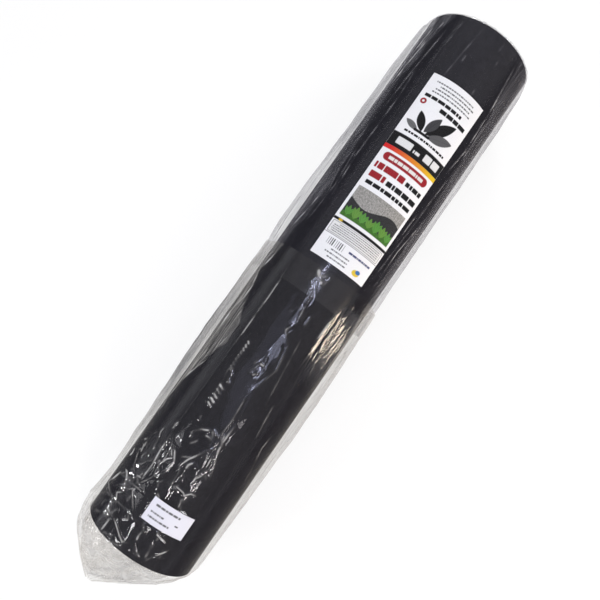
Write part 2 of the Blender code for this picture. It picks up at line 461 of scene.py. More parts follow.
@dataclass(frozen=True)
class NonwovenFinish:
    """Black needled fabric: matt, with fine fibres lying every way."""

    name: str = "black_nonwoven_fibre"
    colour: Colour = (0.0066, 0.0064, 0.0086)
    fibre_colour: Colour = (0.0205, 0.02, 0.0265)

    def material(self) -> Material:
        """Build the fabric's material.

        Returns:
            The material.
        """
        graph = NodeGraph(self.name)
        place = graph.stretched((1.0, 1.0, 1.0))
        swirl = graph.add("TexNoise", Vector=place, Scale=90.0, Detail=2.0, Distortion=1.5).outputs["Fac"]
        fibre = graph.add("TexNoise", Vector=place, Scale=900.0, Detail=6.0, Roughness=0.7, Distortion=2.2)
        cross = graph.add("TexNoise", Vector=graph.stretched((3.0, 1.0, 1.0)), Scale=500.0, Detail=4.0)
        rough = graph.math("ADD", fibre.outputs["Fac"], cross.outputs["Fac"])
        share = graph.math("MULTIPLY", rough, swirl, clamp=True)
        bump = graph.add("Bump", Strength=0.3, Distance=0.2 * MM, Height=rough).outputs["Normal"]
        cloth = graph.add("BsdfPrincipled", Roughness=0.95, Normal=bump)
        graph.feed(cloth, "Base Color", graph.mix_colours(share, self.colour, self.fibre_colour))
        graph.feed(cloth, "Specular IOR Level", 0.08)
        return graph.finish(cloth.outputs[0])


@dataclass(frozen=True)
class KraftFinish:
    """Brown paper of the core tube, with the seams of its wound plies."""

    name: str = "kraft_board"
    colour: Colour = (0.33, 0.21, 0.12)
    light_colour: Colour = (0.47, 0.33, 0.2)

    def material(self) -> Material:
        """Build the board's material.

        Returns:
            The material.
        """
        graph = NodeGraph(self.name)
        place = graph.stretched((1.0, 1.0, 1.0))
        pulp = graph.add("TexNoise", Vector=place, Scale=420.0, Detail=8.0, Roughness=0.65).outputs["Fac"]
        rings = {"wave_type": "RINGS", "rings_direction": "X", "wave_profile": "SAW"}
        ply = graph.add("TexWave", rings, Vector=place, Scale=160.0, Distortion=1.2).outputs["Fac"]
        shade = graph.math("MULTIPLY_ADD", ply, 0.3, graph.math("MULTIPLY", pulp, 0.7))
        bump = graph.add("Bump", Strength=0.4, Distance=0.2 * MM, Height=shade).outputs["Normal"]
        board = graph.add("BsdfPrincipled", Roughness=0.88, Normal=bump)
        graph.feed(board, "Base Color", graph.mix_colours(shade, self.colour, self.light_colour))
        return graph.finish(board.outputs[0])


@dataclass(frozen=True)
class PrintedPaperFinish:
    """Coated paper whose print is the mesh's ink attribute, over a faint fibre."""

    name: str
    roughness: float = 0.42

    def material(self) -> Material:
        """Build the paper's material.

        Returns:
            The material.
        """
        graph = NodeGraph(self.name)
        fibre = graph.add("TexNoise", Vector=graph.stretched((1.0, 1.0, 1.0)), Scale=1200.0, Detail=4.0)
        ink = graph.add("Attribute", {"attribute_name": "ink"}).outputs["Color"]
        share = graph.math("MULTIPLY", fibre.outputs["Fac"], 0.06)
        bump = graph.add("Bump", Strength=0.12, Distance=0.1 * MM, Height=fibre.outputs["Fac"])
        paper = graph.add("BsdfPrincipled", Roughness=self.roughness, Normal=bump.outputs["Normal"])
        graph.feed(paper, "Specular IOR Level", 0.15)
        graph.feed(paper, "Base Color", graph.mix_colours(share, ink, (0.12, 0.12, 0.12)))
        return graph.finish(paper.outputs[0])


@dataclass(frozen=True)
class WoundSheet:
    """The weed control sheet: one strip of nonwoven wound up on the core, with its cut edges at both ends.

    The strip has a point each fine_step over its outer fine_turns, and each coarse_step from there on. Its
    turns settle flat underneath, less and less over settled_turns, where they face down more than underside.
    """

    roll: Roll
    finish: NonwovenFinish
    thickness: float = 0.84 * MM
    inner_radius: float = 30.9 * MM
    fine_turns: float = 1.25
    fine_step: float = math.radians(2.0)
    coarse_step: float = math.radians(7.5)
    settled_turns: float = 30.0
    underside: float = 0.2
    end_gap: float = 0.3 * MM
    edge_rounding: float = 0.25 * MM
    edge_wander: float = 0.4 * MM
    wanders_a_turn: float = 1.3
    seed: int = 41
    sharp_angle: float = math.radians(35.0)

    def stations(self) -> Array:
        """Set out the strip's points along it.

        Returns:
            Angles wound past the free edge.
        """
        wound = TURN * (self.roll.radius - self.inner_radius) / self.roll.turn
        fine = np.arange(0.0, self.fine_turns * TURN, self.fine_step)
        coarse = np.arange(self.fine_turns * TURN, wound, self.coarse_step)
        return np.concatenate([fine, coarse])

    def outline(self, wound: Array, inset: float) -> tuple[Array, Array]:
        """The strip's place across the roll, a little under its outer face.

        Args:
            wound: Angles wound past the free edge.
            inset: Depth under the outer face.

        Returns:
            Radius and angle of each station, with the turns settled flat under the roll.
        """
        angle = self.roll.free_edge + wound
        radius = self.roll.radius - self.roll.turn * wound / TURN - inset
        at_bottom = radius + self.roll.turn * (angle % TURN - math.pi) / TURN
        depth = self.roll.settled * np.clip(1.0 - wound / (self.settled_turns * TURN), 0.0, 1.0)
        down = -np.cos(angle)
        settled = (at_bottom - depth) / np.maximum(down, self.underside)
        return np.minimum(radius, np.where(down > self.underside, settled, np.inf)), angle

    def build(self) -> Piece:
        """Build the strip.

        Returns:
            The strip as one soft piece.
        """
        wound = self.stations()
        wander = SmoothNoise(self.seed)
        jitter = self.edge_wander * wander.sample(wound / TURN * self.wanders_a_turn, np.zeros_like(wound))
        half = self.roll.half_length - self.end_gap
        loop = []
        for inset, along in (
            (0.0, -half + self.edge_rounding + jitter),
            (0.0, half - self.edge_rounding + jitter),
            (self.thickness / 2.0, half + jitter),
            (self.thickness, half - self.edge_rounding + jitter),
            (self.thickness, -half + self.edge_rounding + jitter),
            (self.thickness / 2.0, -half + jitter),
        ):
            radius, angle = self.outline(wound, inset)
            loop.append(self.roll.place(along, radius, angle))
        made = GridSurface(np.stack(loop, axis=1)).to_object("wound_weed_sheet", self.finish.material())
        made.data.set_sharp_from_angle(angle=self.sharp_angle)
        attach(made, Body.ROLL.value)
        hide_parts("weed_sheet")
        return made


@dataclass(frozen=True)
class CoreTube:
    """The paper tube in the middle of the roll, given by its radii and the bevel of its edges."""

    roll: Roll
    finish: KraftFinish
    bore: float = 25.0 * MM
    outside: float = 30.0 * MM
    edge: float = 0.7 * MM
    stations: int = 97
    sharp_angle: float = math.radians(50.0)

    def build(self) -> Piece:
        """Turn the tube's profile round the roll's axis.

        Returns:
            The tube.
        """
        low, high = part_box("core_tube")
        bevel = 0.3 * self.edge
        profile = [
            (self.bore, high.x - self.edge),
            (self.bore + bevel, high.x - bevel),
            (self.bore + self.edge, high.x),
            (self.outside - self.edge, high.x),
            (self.outside - bevel, high.x - bevel),
            (self.outside, high.x - self.edge),
        ]
        mirrored = [(radius, low.x + high.x - along) for radius, along in reversed(profile)]
        ring = np.array(profile + mirrored)
        angle = np.linspace(0.0, TURN, self.stations)
        points = self.roll.place(ring[None, :, 1], ring[None, :, 0], angle[:, None])
        made = GridSurface(points).to_object("kraft_core", self.finish.material())
        made.data.set_sharp_from_angle(angle=self.sharp_angle)
        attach(made, Body.ROLL.value)
        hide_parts("core_tube")
        return made


@dataclass
class Artwork:
    """Print on a flat sheet, painted shape by shape in millimetres from the sheet's corner.

    The ink is carried by points one cell apart.
    """

    length: float
    width: float
    cell: float

    PAPER = (0.9, 0.9, 0.92)
    VEIN_SPAN = (0.08, 0.9)
    VEIN_HALF_WIDTH = 0.25
    VEIN_SHADE = 0.6

    def __post_init__(self) -> None:
        """Start from bare white paper."""
        self.x = np.linspace(0.0, self.length, round(self.length / self.cell) + 1)[:, None]
        self.y = np.linspace(0.0, self.width, round(self.width / self.cell) + 1)[None, :]
        self.ink = np.ones((self.x.size, self.y.size, 3)) * self.PAPER

    def lay(self, inside: Array, colour: Colour | Array) -> None:
        """Lay one colour, or a colour for every point, where the distance inside a shape is positive."""
        cover = np.clip(inside / self.cell + 0.5, 0.0, 1.0)[..., None]
        self.ink = self.ink * (1.0 - cover) + np.asarray(colour) * cover

    def rectangle(self, x: Span, y: Span, colour: Colour, bevel: float = 0.0) -> None:
        """Lay a rectangle.

        Args:
            x: Its lowest and highest place along the sheet.
            y: Its lowest and highest place across it.
            colour: Its colour.
            bevel: Radius of its corners.
        """
        away_x = np.abs(self.x - (x[0] + x[1]) / 2.0) - (x[1] - x[0]) / 2.0 + bevel
        away_y = np.abs(self.y - (y[0] + y[1]) / 2.0) - (y[1] - y[0]) / 2.0 + bevel
        outside = np.hypot(np.maximum(away_x, 0.0), np.maximum(away_y, 0.0))
        self.lay(bevel - outside - np.minimum(np.maximum(away_x, away_y), 0.0), colour)

    def disc(self, centre: Span, size: Span, colour: Colour) -> None:
        """Lay a disc or an ellipse, by its centre and its half sizes along and across the sheet."""
        reach = np.hypot((self.x - centre[0]) / size[0], (self.y - centre[1]) / size[1])
        self.lay((1.0 - reach) * min(size), colour)

    def leaf(self, foot: Span, tip: Span, fatness: float, colour: Colour) -> None:
        """Lay a pointed leaf with a darker vein.

        Args:
            foot: Where it starts.
            tip: Where it ends.
            fatness: Its half width as a share of its length.
            colour: Its colour.
        """
        length = math.dist(foot, tip)
        run = (tip[0] - foot[0]) / length, (tip[1] - foot[1]) / length
        along = ((self.x - foot[0]) * run[0] + (self.y - foot[1]) * run[1]) / length
        across = np.abs((self.x - foot[0]) * run[1] - (self.y - foot[1]) * run[0])
        half = fatness * length * np.sin(math.pi * np.clip(along, 0.0, 1.0)) ** 0.8
        self.lay(np.where((along > 0.0) & (along < 1.0), half - across, -1.0), colour)
        veined = (along > self.VEIN_SPAN[0]) & (along < self.VEIN_SPAN[1])
        vein = np.where(veined, self.VEIN_HALF_WIDTH - across, -1.0)
        self.lay(vein, tuple(channel * self.VEIN_SHADE for channel in colour))

    def word_bars(self, x: float, y: Span, height: float, colour: Colour, seed: int, gap: float) -> None:
        """Lay a row of short bars across the sheet, where a line of words would be.

        Args:
            x: Middle of the row along the sheet.
            y: The row's lowest and highest place across it.
            height: Height of the bars.
            colour: Their colour.
            seed: Seed of their lengths.
            gap: Space between bars, as a share of their height.
        """
        lengths = np.random.default_rng(seed)
        at = y[0]
        while at < y[1]:
            end = min(at + height * lengths.uniform(0.5, 2.4), y[1])
            if end - at > 0.3 * height:
                self.rectangle((x - height / 2.0, x + height / 2.0), (at, end), colour, 0.12 * height)
            at = end + gap * height


@dataclass(frozen=True)
class PrintedPatch:
    """A printed paper that lies round the roll.

    It starts at a place along the roll, its middle is at an angle round it, and the radius is that of its
    underside. Its plain back has a point for every few of its face.
    """

    roll: Roll
    radius: float
    start: float
    middle_angle: float
    thickness: float
    back_step: int = 8
    back_shade: float = 0.82

    def build(self, name: str, art: Artwork, finish: PrintedPaperFinish, lift: Array) -> Piece:
        """Bend the artwork's sheet round the roll.

        Args:
            name: Name of the piece.
            art: Its print, whose width runs towards rising angles.
            finish: Its finish.
            lift: How far each point stands off, in metres.

        Returns:
            The paper, with a printed face and a plain back.
        """
        along = self.start + art.x * MM
        angle = self.middle_angle + (art.y - art.width / 2.0) * MM / self.radius
        top = self.roll.place(along, self.radius + self.thickness + lift, angle)
        rows, columns = top.shape[:2]
        back_rows = np.unique(np.append(np.arange(0, rows, self.back_step), rows - 1))
        back_columns = np.unique(np.append(np.arange(0, columns, self.back_step), columns - 1))
        under = self.roll.place(along, self.radius + lift, angle)[np.ix_(back_rows, back_columns)]
        front = np.arange(rows * columns).reshape(rows, columns)
        back = rows * columns + np.arange(under.shape[0] * under.shape[1]).reshape(under.shape[:2])
        faces = [
            stack_faces(front[:-1, :-1], front[1:, :-1], front[1:, 1:], front[:-1, 1:]),
            stack_faces(back[:-1, :-1], back[:-1, 1:], back[1:, 1:], back[1:, :-1]),
        ]
        points = np.concatenate([top.reshape(-1, 3), under.reshape(-1, 3)])
        made = mesh_object(name, points, np.concatenate(faces), finish.material())
        ink = np.ones((len(points), 4)) * self.back_shade
        ink[: rows * columns, :3] = art.ink.reshape(-1, 3)
        ink[:, 3] = 1.0
        attribute = made.data.attributes.new("ink", "FLOAT_COLOR", "POINT")
        attribute.data.foreach_set("color", ink.astype(np.float32).ravel())
        return made


@dataclass(frozen=True)
class LabelInsert:
    """The printed label on the roll, inside the upper bag.

    Its length, width and cell are in millimetres, as its print is.
    """

    roll: Roll
    finish: PrintedPaperFinish
    length: float = 350.0
    width: float = 105.0
    cell: float = 0.6
    start: float = 38.5 * MM
    middle_angle: float = math.radians(-6.8)
    sunk: float = 0.3 * MM
    thickness: float = 0.25 * MM
    ripple: float = 0.05 * MM
    ripple_seed: int = 5
    gravel_seed: int = 77

    BLACK = (0.004, 0.004, 0.005)
    SOFT_BLACK = (0.05, 0.05, 0.055)
    GREY = (0.11, 0.11, 0.12)
    DARK_GREY = (0.1, 0.1, 0.105)
    LEAF_GREY = (0.14, 0.14, 0.145)
    LIGHT = (0.78, 0.78, 0.78)
    PALE = (0.82, 0.82, 0.82)
    BRIGHT = (0.86, 0.86, 0.86)
    CREAM = (0.8, 0.78, 0.76)
    RED = (0.33, 0.012, 0.02)
    NAVY = (0.05, 0.06, 0.16)
    BLUE = (0.04, 0.16, 0.42)
    YELLOW = (0.75, 0.55, 0.05)
    AMBER = (0.72, 0.5, 0.04)

    def artwork(self) -> Artwork:
        """Paint the label.

        Returns:
            Its print, whose length runs from its foot to its head and its width towards the free edge.
        """
        art = Artwork(self.length, self.width, self.cell)
        self.paint_foot(art)
        self.paint_picture(art)
        self.paint_middle(art)
        self.paint_head(art)
        return art

    def paint_foot(self, art: Artwork) -> None:
        """Paint the small print at the foot.

        Args:
            art: The print, which is painted on.
        """
        for row in range(3):
            art.word_bars(7.0 + 6.2 * row, (44.0, 78.0 + 9.0 * (row % 2)), 2.2, self.GREY, 10 + row, 0.5)
        art.word_bars(30.5, (8.0, 52.0), 3.4, self.NAVY, 16, 0.25)
        art.disc((10.0, 24.0), (5.0, 7.0), self.YELLOW)
        art.disc((13.0, 21.0), (3.4, 4.6), self.BLUE)
        for row in range(9):
            width = 0.6 + 0.4 * ((row * 7) % 4)
            art.rectangle((24.0, 36.0), (62.0 + 3.6 * row, 62.0 + 3.6 * row + width), self.BLACK)
        art.rectangle((39.8, 40.6), (0.0, self.width), self.BLACK)
        art.rectangle((42.0, 62.5), (3.0, 102.0), self.BLACK, 1.5)
        art.rectangle((42.7, 61.8), (3.7, 101.3), self.PALE, 1.2)
        for row in range(5):
            art.word_bars(45.8 + 3.3 * row, (7.0, 98.0 - 9.0 * (row == 4)), 1.5, self.GREY, 30 + row, 0.6)
        art.rectangle((64.0, 68.5), (0.0, self.width), self.BLACK)
        art.leaf((66.2, 88.0), (66.2, 96.0), 0.3, self.AMBER)

    def paint_picture(self, art: Artwork) -> None:
        """Paint the picture: gravel, a dark sheet beside it, grass and young leaves.

        Args:
            art: The print, which is painted on.
        """
        x, y = np.broadcast_arrays(art.x, art.y)
        stone = SmoothNoise(self.gravel_seed)
        speck = 0.5 + 0.5 * stone.sample(x / 1.4, y / 1.4) + 0.3 * stone.sample(x / 3.1 + 9.0, y / 3.1)
        gravel = np.clip(0.16 + 0.34 * speck, 0.03, 0.62)[..., None] * np.array([1.0, 0.97, 0.92])
        frame = np.minimum(np.minimum(x - 74.0, 130.0 - x), np.minimum(y - 5.0, 100.0 - y))
        art.lay(frame, gravel)
        fabric = np.clip(0.02 + 0.02 * speck, 0.01, 0.06)[..., None] * np.array([1.0, 1.0, 1.05])
        edge = 106.0 + 7.0 * np.sin(y / 15.0)
        art.lay(np.minimum(frame, edge - x), fabric)
        grass = np.array([0.05, 0.15, 0.02]) * np.clip(0.6 + 0.9 * speck, 0.2, 1.8)[..., None]
        art.lay(np.minimum(frame, 84.0 + 3.0 * np.sin(y / 6.0) - x), grass)
        for count in range(7):
            foot = 12.0 + 13.0 * count
            for turn in (-0.6, 0.1, 0.7):
                tip = (80.0 + 15.0 * math.cos(turn) + 2.0 * (count % 3), foot + 11.0 * math.sin(turn))
                art.leaf((78.0, foot), tip, 0.17, (0.1 + 0.03 * (count % 2), 0.3, 0.05))

    def paint_middle(self, art: Artwork) -> None:
        """Paint the bold rows, the rounded panel, the warm stripe and the black band.

        Args:
            art: The print, which is painted on.
        """
        art.word_bars(141.0, (8.0, 98.0), 6.5, self.BLACK, 51, 0.2)
        art.word_bars(154.5, (6.0, 66.0), 8.5, self.BLACK, 52, 0.16)
        art.word_bars(156.0, (70.0, 99.0), 11.0, self.RED, 53, 0.16)
        art.word_bars(172.0, (6.0, 40.0), 7.5, self.BLACK, 54, 0.16)
        art.word_bars(173.0, (44.0, 99.0), 11.0, self.RED, 58, 0.14)
        art.rectangle((185.0, 199.5), (9.0, 96.0), self.RED, 7.2)
        art.word_bars(192.2, (19.0, 88.0), 5.6, self.CREAM, 56, 0.2)
        x, y = np.broadcast_arrays(art.x, art.y)
        warmth = np.clip((y - 10.0) / 85.0, 0.0, 1.0)
        green = 0.5 * (1.0 - warmth) ** 1.3 + 0.02
        ramp = np.stack([0.78 - 0.1 * warmth, green, np.full_like(warmth, 0.02)], axis=-1)
        art.lay(np.minimum(x - 203.5, 211.0 - x), ramp)
        art.rectangle((211.0, 236.0), (0.0, self.width), self.BLACK)
        art.word_bars(224.0, (8.0, 40.0), 12.5, self.LIGHT, 61, 0.18)
        art.word_bars(221.0, (48.0, 60.0), 5.0, self.LIGHT, 62, 0.3)
        art.word_bars(224.0, (64.0, 97.0), 12.5, self.LIGHT, 66, 0.18)

    def paint_head(self, art: Artwork) -> None:
        """Paint the sprig, the title rows and the small rows at the head.

        Args:
            art: The print, which is painted on.
        """
        art.word_bars(244.0, (12.0, 94.0), 3.6, self.BLACK, 71, 0.3)
        art.leaf((254.0, 60.0), (294.0, 22.0), 0.17, self.BLACK)
        art.leaf((256.0, 64.0), (290.0, 50.0), 0.2, self.SOFT_BLACK)
        art.leaf((254.0, 68.0), (284.0, 86.0), 0.2, self.BLACK)
        art.leaf((252.0, 56.0), (268.0, 12.0), 0.17, self.DARK_GREY)
        art.leaf((252.0, 74.0), (262.0, 99.0), 0.19, self.LEAF_GREY)
        art.rectangle((250.0, 254.5), (50.0, 80.0), self.BLACK, 2.0)
        art.word_bars(300.0, (8.0, 62.0), 7.0, self.BLACK, 74, 0.16)
        art.disc((300.0, 93.0), (5.2, 5.2), self.RED)
        art.disc((300.0, 93.0), (2.0, 2.0), self.BRIGHT)
        art.word_bars(311.5, (26.0, 97.0), 5.6, self.BLACK, 75, 0.22)
        for row in range(4):
            span = (14.0 + 5.0 * (row % 2), 92.0 - 4.0 * (row % 3))
            art.word_bars(321.0 + 6.0 * row, span, 2.4, self.GREY, 80 + row, 0.5)

    def build(self) -> Piece:
        """Build the label.

        Returns:
            The label, on the roll.
        """
        art = self.artwork()
        patch = PrintedPatch(
            self.roll, self.roll.radius - self.sunk, self.start, self.middle_angle, self.thickness
        )
        waves = SmoothNoise(self.ripple_seed).sample(art.x / 60.0, art.y / 30.0)
        made = patch.build("printed_label", art, self.finish, self.ripple + self.ripple * waves)
        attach(made, Body.ROLL.value)
        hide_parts("label_insert")
        return made


@dataclass(frozen=True)
class ShippingSticker:
    """The white sticker outside the lower bag.

    Its length, width and cell are in millimetres, as its print is.
    """

    roll: Roll
    finish: PrintedPaperFinish
    length: float = 38.0
    width: float = 73.0
    cell: float = 0.5
    start: float = -440.5 * MM
    middle_angle: float = math.radians(-10.6)
    raised: float = 1.25 * MM
    thickness: float = 0.15 * MM
    curl: float = 0.08 * MM
    curl_seed: int = 6

    TINT = (0.75, 0.75, 0.81)
    GREY = (0.12, 0.12, 0.13)

    def build(self) -> Piece:
        """Build the sticker with rows of greyed bars.

        Returns:
            The sticker, on the lower bag.
        """
        art = Artwork(self.length, self.width, self.cell)
        art.ink *= self.TINT
        art.word_bars(29.0, (21.0, 66.0), 3.4, self.GREY, 91, 0.4)
        art.word_bars(17.0, (43.0, 66.0), 2.8, self.GREY, 92, 0.4)
        art.word_bars(16.0, (17.0, 23.0), 2.4, self.GREY, 93, 0.4)
        art.word_bars(9.0, (29.0, 66.0), 3.0, self.GREY, 94, 0.4)
        patch = PrintedPatch(
            self.roll, self.roll.radius + self.raised, self.start, self.middle_angle, self.thickness
        )
        lift = self.curl * (1.0 + SmoothNoise(self.curl_seed).sample(art.x / 20.0, art.y / 20.0))
        made = patch.build("white_sticker", art, self.finish, lift)
        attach(made, Body.LOWER_BAG.value)
        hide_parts("shipping_sticker")
        return made


@dataclass(frozen=True)
class Crease:
    """One crease of a film: a sharp ridge along a line of places, as millimetres along and degrees round.

    Its height and half width are in millimetres. It rises from its ends, where it has a share of its height.
    """

    places: tuple[Span, ...]
    height: float = 0.6
    half_width: float = 2.6

    END_SHARE = 0.3
    RISE = 4.0
    CREST_ROUNDING = 0.025

    def add_to(self, heights: Array, along: Array, angle: Array, radius: float) -> None:
        """Raise a film's heights along the crease.

        Args:
            heights: Heights in metres, by place along and angle, which are changed.
            along: Places along the roll, one for each row.
            angle: Angles round it, one for each column.
            radius: Radius at which lengths round the roll are measured.
        """
        line = np.array([(x * MM, radius * math.radians(degrees)) for x, degrees in self.places])
        width = self.half_width * MM
        across = radius * ((angle + math.pi) % TURN - math.pi)
        rows = np.flatnonzero((along > line[:, 0].min() - width) & (along < line[:, 0].max() + width))
        columns = np.flatnonzero((across > line[:, 1].min() - width) & (across < line[:, 1].max() + width))
        if not rows.size or not columns.size:
            return
        x, y = along[rows][:, None], across[columns][None, :]
        best = np.full((rows.size, columns.size), np.inf)
        done = np.zeros_like(best)
        walked = 0.0
        for start, step in zip(line, np.diff(line, axis=0)):
            length = np.linalg.norm(step)
            share = np.clip(((x - start[0]) * step[0] + (y - start[1]) * step[1]) / length**2, 0.0, 1.0)
            away = np.hypot(x - start[0] - share * step[0], y - start[1] - share * step[1])
            done = np.where(away < best, walked + share * length, done)
            best = np.minimum(best, away)
            walked += length
        from_end = np.minimum(done, walked - done) / walked
        taper = np.clip(self.RISE * from_end + self.END_SHARE, 0.0, 1.0)
        ridge = np.clip(1.0 - np.sqrt((best / width) ** 2 + self.CREST_ROUNDING), 0.0, 1.0) * taper
        block = np.ix_(rows, columns)
        heights[block] = np.maximum(heights[block], self.height * MM * ridge)


class Facets:
    """Flat facets with straight creases between them, as in crushed film, over a part of a bag."""

    LENGTHENED = 1.5
    SCATTER = 0.48

    def __init__(self, seed: int, along: Span, around: Span, cell: float) -> None:
        """Scatter the facets' corners and join them.

        Args:
            seed: Seed of their places and heights.
            along: Lowest and highest place along the roll.
            around: Lowest and highest length round it, from its top.
            cell: Rough width of a facet. It is half as long again along the roll.
        """
        draw = np.random.default_rng(seed)
        steps = np.array((self.LENGTHENED * cell, cell))
        x = np.arange(along[0] - steps[0], along[1] + 2.0 * steps[0], steps[0])
        y = np.arange(around[0] - steps[1], around[1] + 2.0 * steps[1], steps[1])
        places = np.stack(np.meshgrid(x, y, indexing="ij"), axis=-1).reshape(-1, 2)
        places = places + draw.uniform(-self.SCATTER, self.SCATTER, places.shape) * steps
        heights = draw.uniform(-1.0, 1.0, len(places))
        scaled = [Vector(place) for place in (places / steps).tolist()]
        found = delaunay_2d_cdt(scaled, [], [], 0, 1e-6)
        self.corners = np.array([tuple(corner) for corner in found[0]]) * steps
        self.heights = np.array([heights[origin[0]] for origin in found[3]])
        self.triangles = found[2]

    def over(self, along: Array, around: Array) -> Array:
        """Heights of the facets over a grid.

        Args:
            along: Places along the roll, one for each row.
            around: Lengths round it, rising, one for each column.

        Returns:
            Heights from -1 to 1, and 0 past the last facet.
        """
        heights = np.zeros((along.size, around.size))
        order = np.argsort(along)
        rising = along[order]
        for triangle in self.triangles:
            (ax, ay), (bx, by), (cx, cy) = (self.corners[corner] for corner in triangle)
            rows = order[slice(*np.searchsorted(rising, (min(ax, bx, cx), max(ax, bx, cx))))]
            columns = slice(*np.searchsorted(around, (min(ay, by, cy), max(ay, by, cy))))
            area = (by - cy) * (ax - cx) + (cx - bx) * (ay - cy)
            if not rows.size or columns.start == columns.stop or abs(area) < 1e-12:
                continue
            x, y = along[rows][:, None], around[columns][None, :]
            first = ((by - cy) * (x - cx) + (cx - bx) * (y - cy)) / area
            second = ((cy - ay) * (x - cx) + (ax - cx) * (y - cy)) / area
            third = 1.0 - first - second
            inside = (first >= 0.0) & (second >= 0.0) & (third >= 0.0)
            a, b, c = (self.heights[corner] for corner in triangle)
            block = heights[rows, columns]
            heights[rows, columns] = np.where(inside, a * first + b * second + c * third, block)
        return heights


@dataclass(frozen=True)
class BagSection:
    """Cross-sections of a bag round the roll: a circle drawn out to a crease on each side, flat underneath.

    Each row of shares is a share of the way from the mouth to the end of the roll, then the shares of the
    crease's reach towards +Y and towards -Y. The drop is how far the film goes down from the roll's axis, and
    it holds where the film faces down more than underside.
    """

    roll: Roll
    circle: float
    drop: float
    mouth: float
    end: float
    shares: Table
    crease_angle: float = math.radians(105.0)
    crease_reach: float = 25.0 * MM
    underside: float = 0.05
    seed: int = 300

    def reach(self, along: Array, side: Side) -> Array:
        """How far the crease on one side stands out from the circle.

        Args:
            along: Places along the roll.
            side: The side of the roll.

        Returns:
            The reach at each place.
        """
        table = np.array(self.shares)
        column = 1 if side is Side.FREE_EDGE else 2
        share = (along - self.mouth) / (self.end - self.mouth)
        wander = SmoothNoise(self.seed + column)
        slow = 0.8 * MM * wander.sample(along / 0.05, np.zeros_like(along))
        quick = 0.25 * MM * wander.sample(along / 0.013, 9.5)
        return self.crease_reach * np.interp(share, table[:, 0], table[:, column]) + (slow + quick)

    def radius(self, along: Array, angle: Array) -> Array:
        """Distance of the smooth film from the roll's axis.

        Args:
            along: Places along the roll.
            angle: Angles round it from 0 to one turn, as a row.

        Returns:
            The distances.
        """
        result = np.full(np.broadcast(along, angle).shape, self.circle)
        for side in Side:
            crease = self.crease_angle if side is Side.FREE_EDGE else TURN - self.crease_angle
            tangent = np.arccos(self.circle / (self.circle + self.reach(along, side)))
            away = np.abs(angle - crease)
            drawn = self.circle / np.cos(np.maximum(tangent - away, 0.0))
            result = np.maximum(result, np.where(away < tangent, drawn, 0.0))
        return self.settle(result, angle)

    def settle(self, radius: Array, angle: Array) -> Array:
        """Keep the film above the floor.

        Args:
            radius: Distances from the axis.
            angle: Angles round it.

        Returns:
            The distances, cut short where they would pass the floor.
        """
        down = -np.cos(angle)
        floor = np.where(down > self.underside, self.drop / np.maximum(down, self.underside), np.inf)
        return np.minimum(radius, floor)


def strewn_creases(seed: int, count: int) -> tuple[Crease, ...]:
    """Short bent creases strewn over the crushed film above the foot of the roll.

    Args:
        seed: Seed of their places.
        count: How many there are.

    Returns:
        The creases.
    """
    stations, middles, spreads = (-495.0, -350.0, -275.0), (18.0, 20.0, 6.0), (42.0, 38.0, 16.0)
    draw = np.random.default_rng(seed)
    made = []
    for _ in range(count):
        x = draw.uniform(-494.0, -275.0)
        spread = np.interp(x, stations, spreads)
        degrees = np.interp(x, stations, middles) + draw.uniform(-1.0, 1.0) * spread
        turn, half = draw.normal(0.0, 0.65), draw.uniform(4.0, 16.0)
        bend = turn + draw.normal(0.0, 0.5)
        start = x - half * math.cos(turn), degrees - half * math.sin(turn) * DEGREES_A_MM
        end = x + half * math.cos(bend), degrees + half * math.sin(bend) * DEGREES_A_MM
        made.append(Crease((start, (x, degrees), end), draw.uniform(0.4, 0.95), draw.uniform(2.6, 4.0)))
    return tuple(made)


def strewn_glints(seed: int, count: int) -> tuple[Crease, ...]:
    """Small creases along the top of the roll, where the film mirrors the lamp over it.

    Args:
        seed: Seed of their places.
        count: How many there are.

    Returns:
        The creases.
    """
    draw = np.random.default_rng(seed)
    made = []
    for _ in range(count):
        x = draw.uniform(-180.0, 18.0)
        degrees = np.interp(x, (-180.0, -90.0, 0.0), (-1.0, -6.0, 2.0)) + draw.normal(0.0, 4.0)
        half, lean = draw.uniform(3.0, 12.0), draw.normal(0.0, 1.6)
        line = (x - half, degrees - lean), (x + half, degrees + lean)
        made.append(Crease(line, draw.uniform(0.3, 0.55), draw.uniform(3.0, 4.5)))
    return tuple(made)


@dataclass(frozen=True)
class Wrinkles:
    """One field of a bag's wrinkles, set apart from the others by its number.

    The length of a wrinkle lies along the roll and its width round it. The field is bent sideways by warp, in
    cells, and has sharp crests if it is ridged.
    """

    number: int
    length: float
    width: float
    warp: float = 0.0
    ridged: bool = True


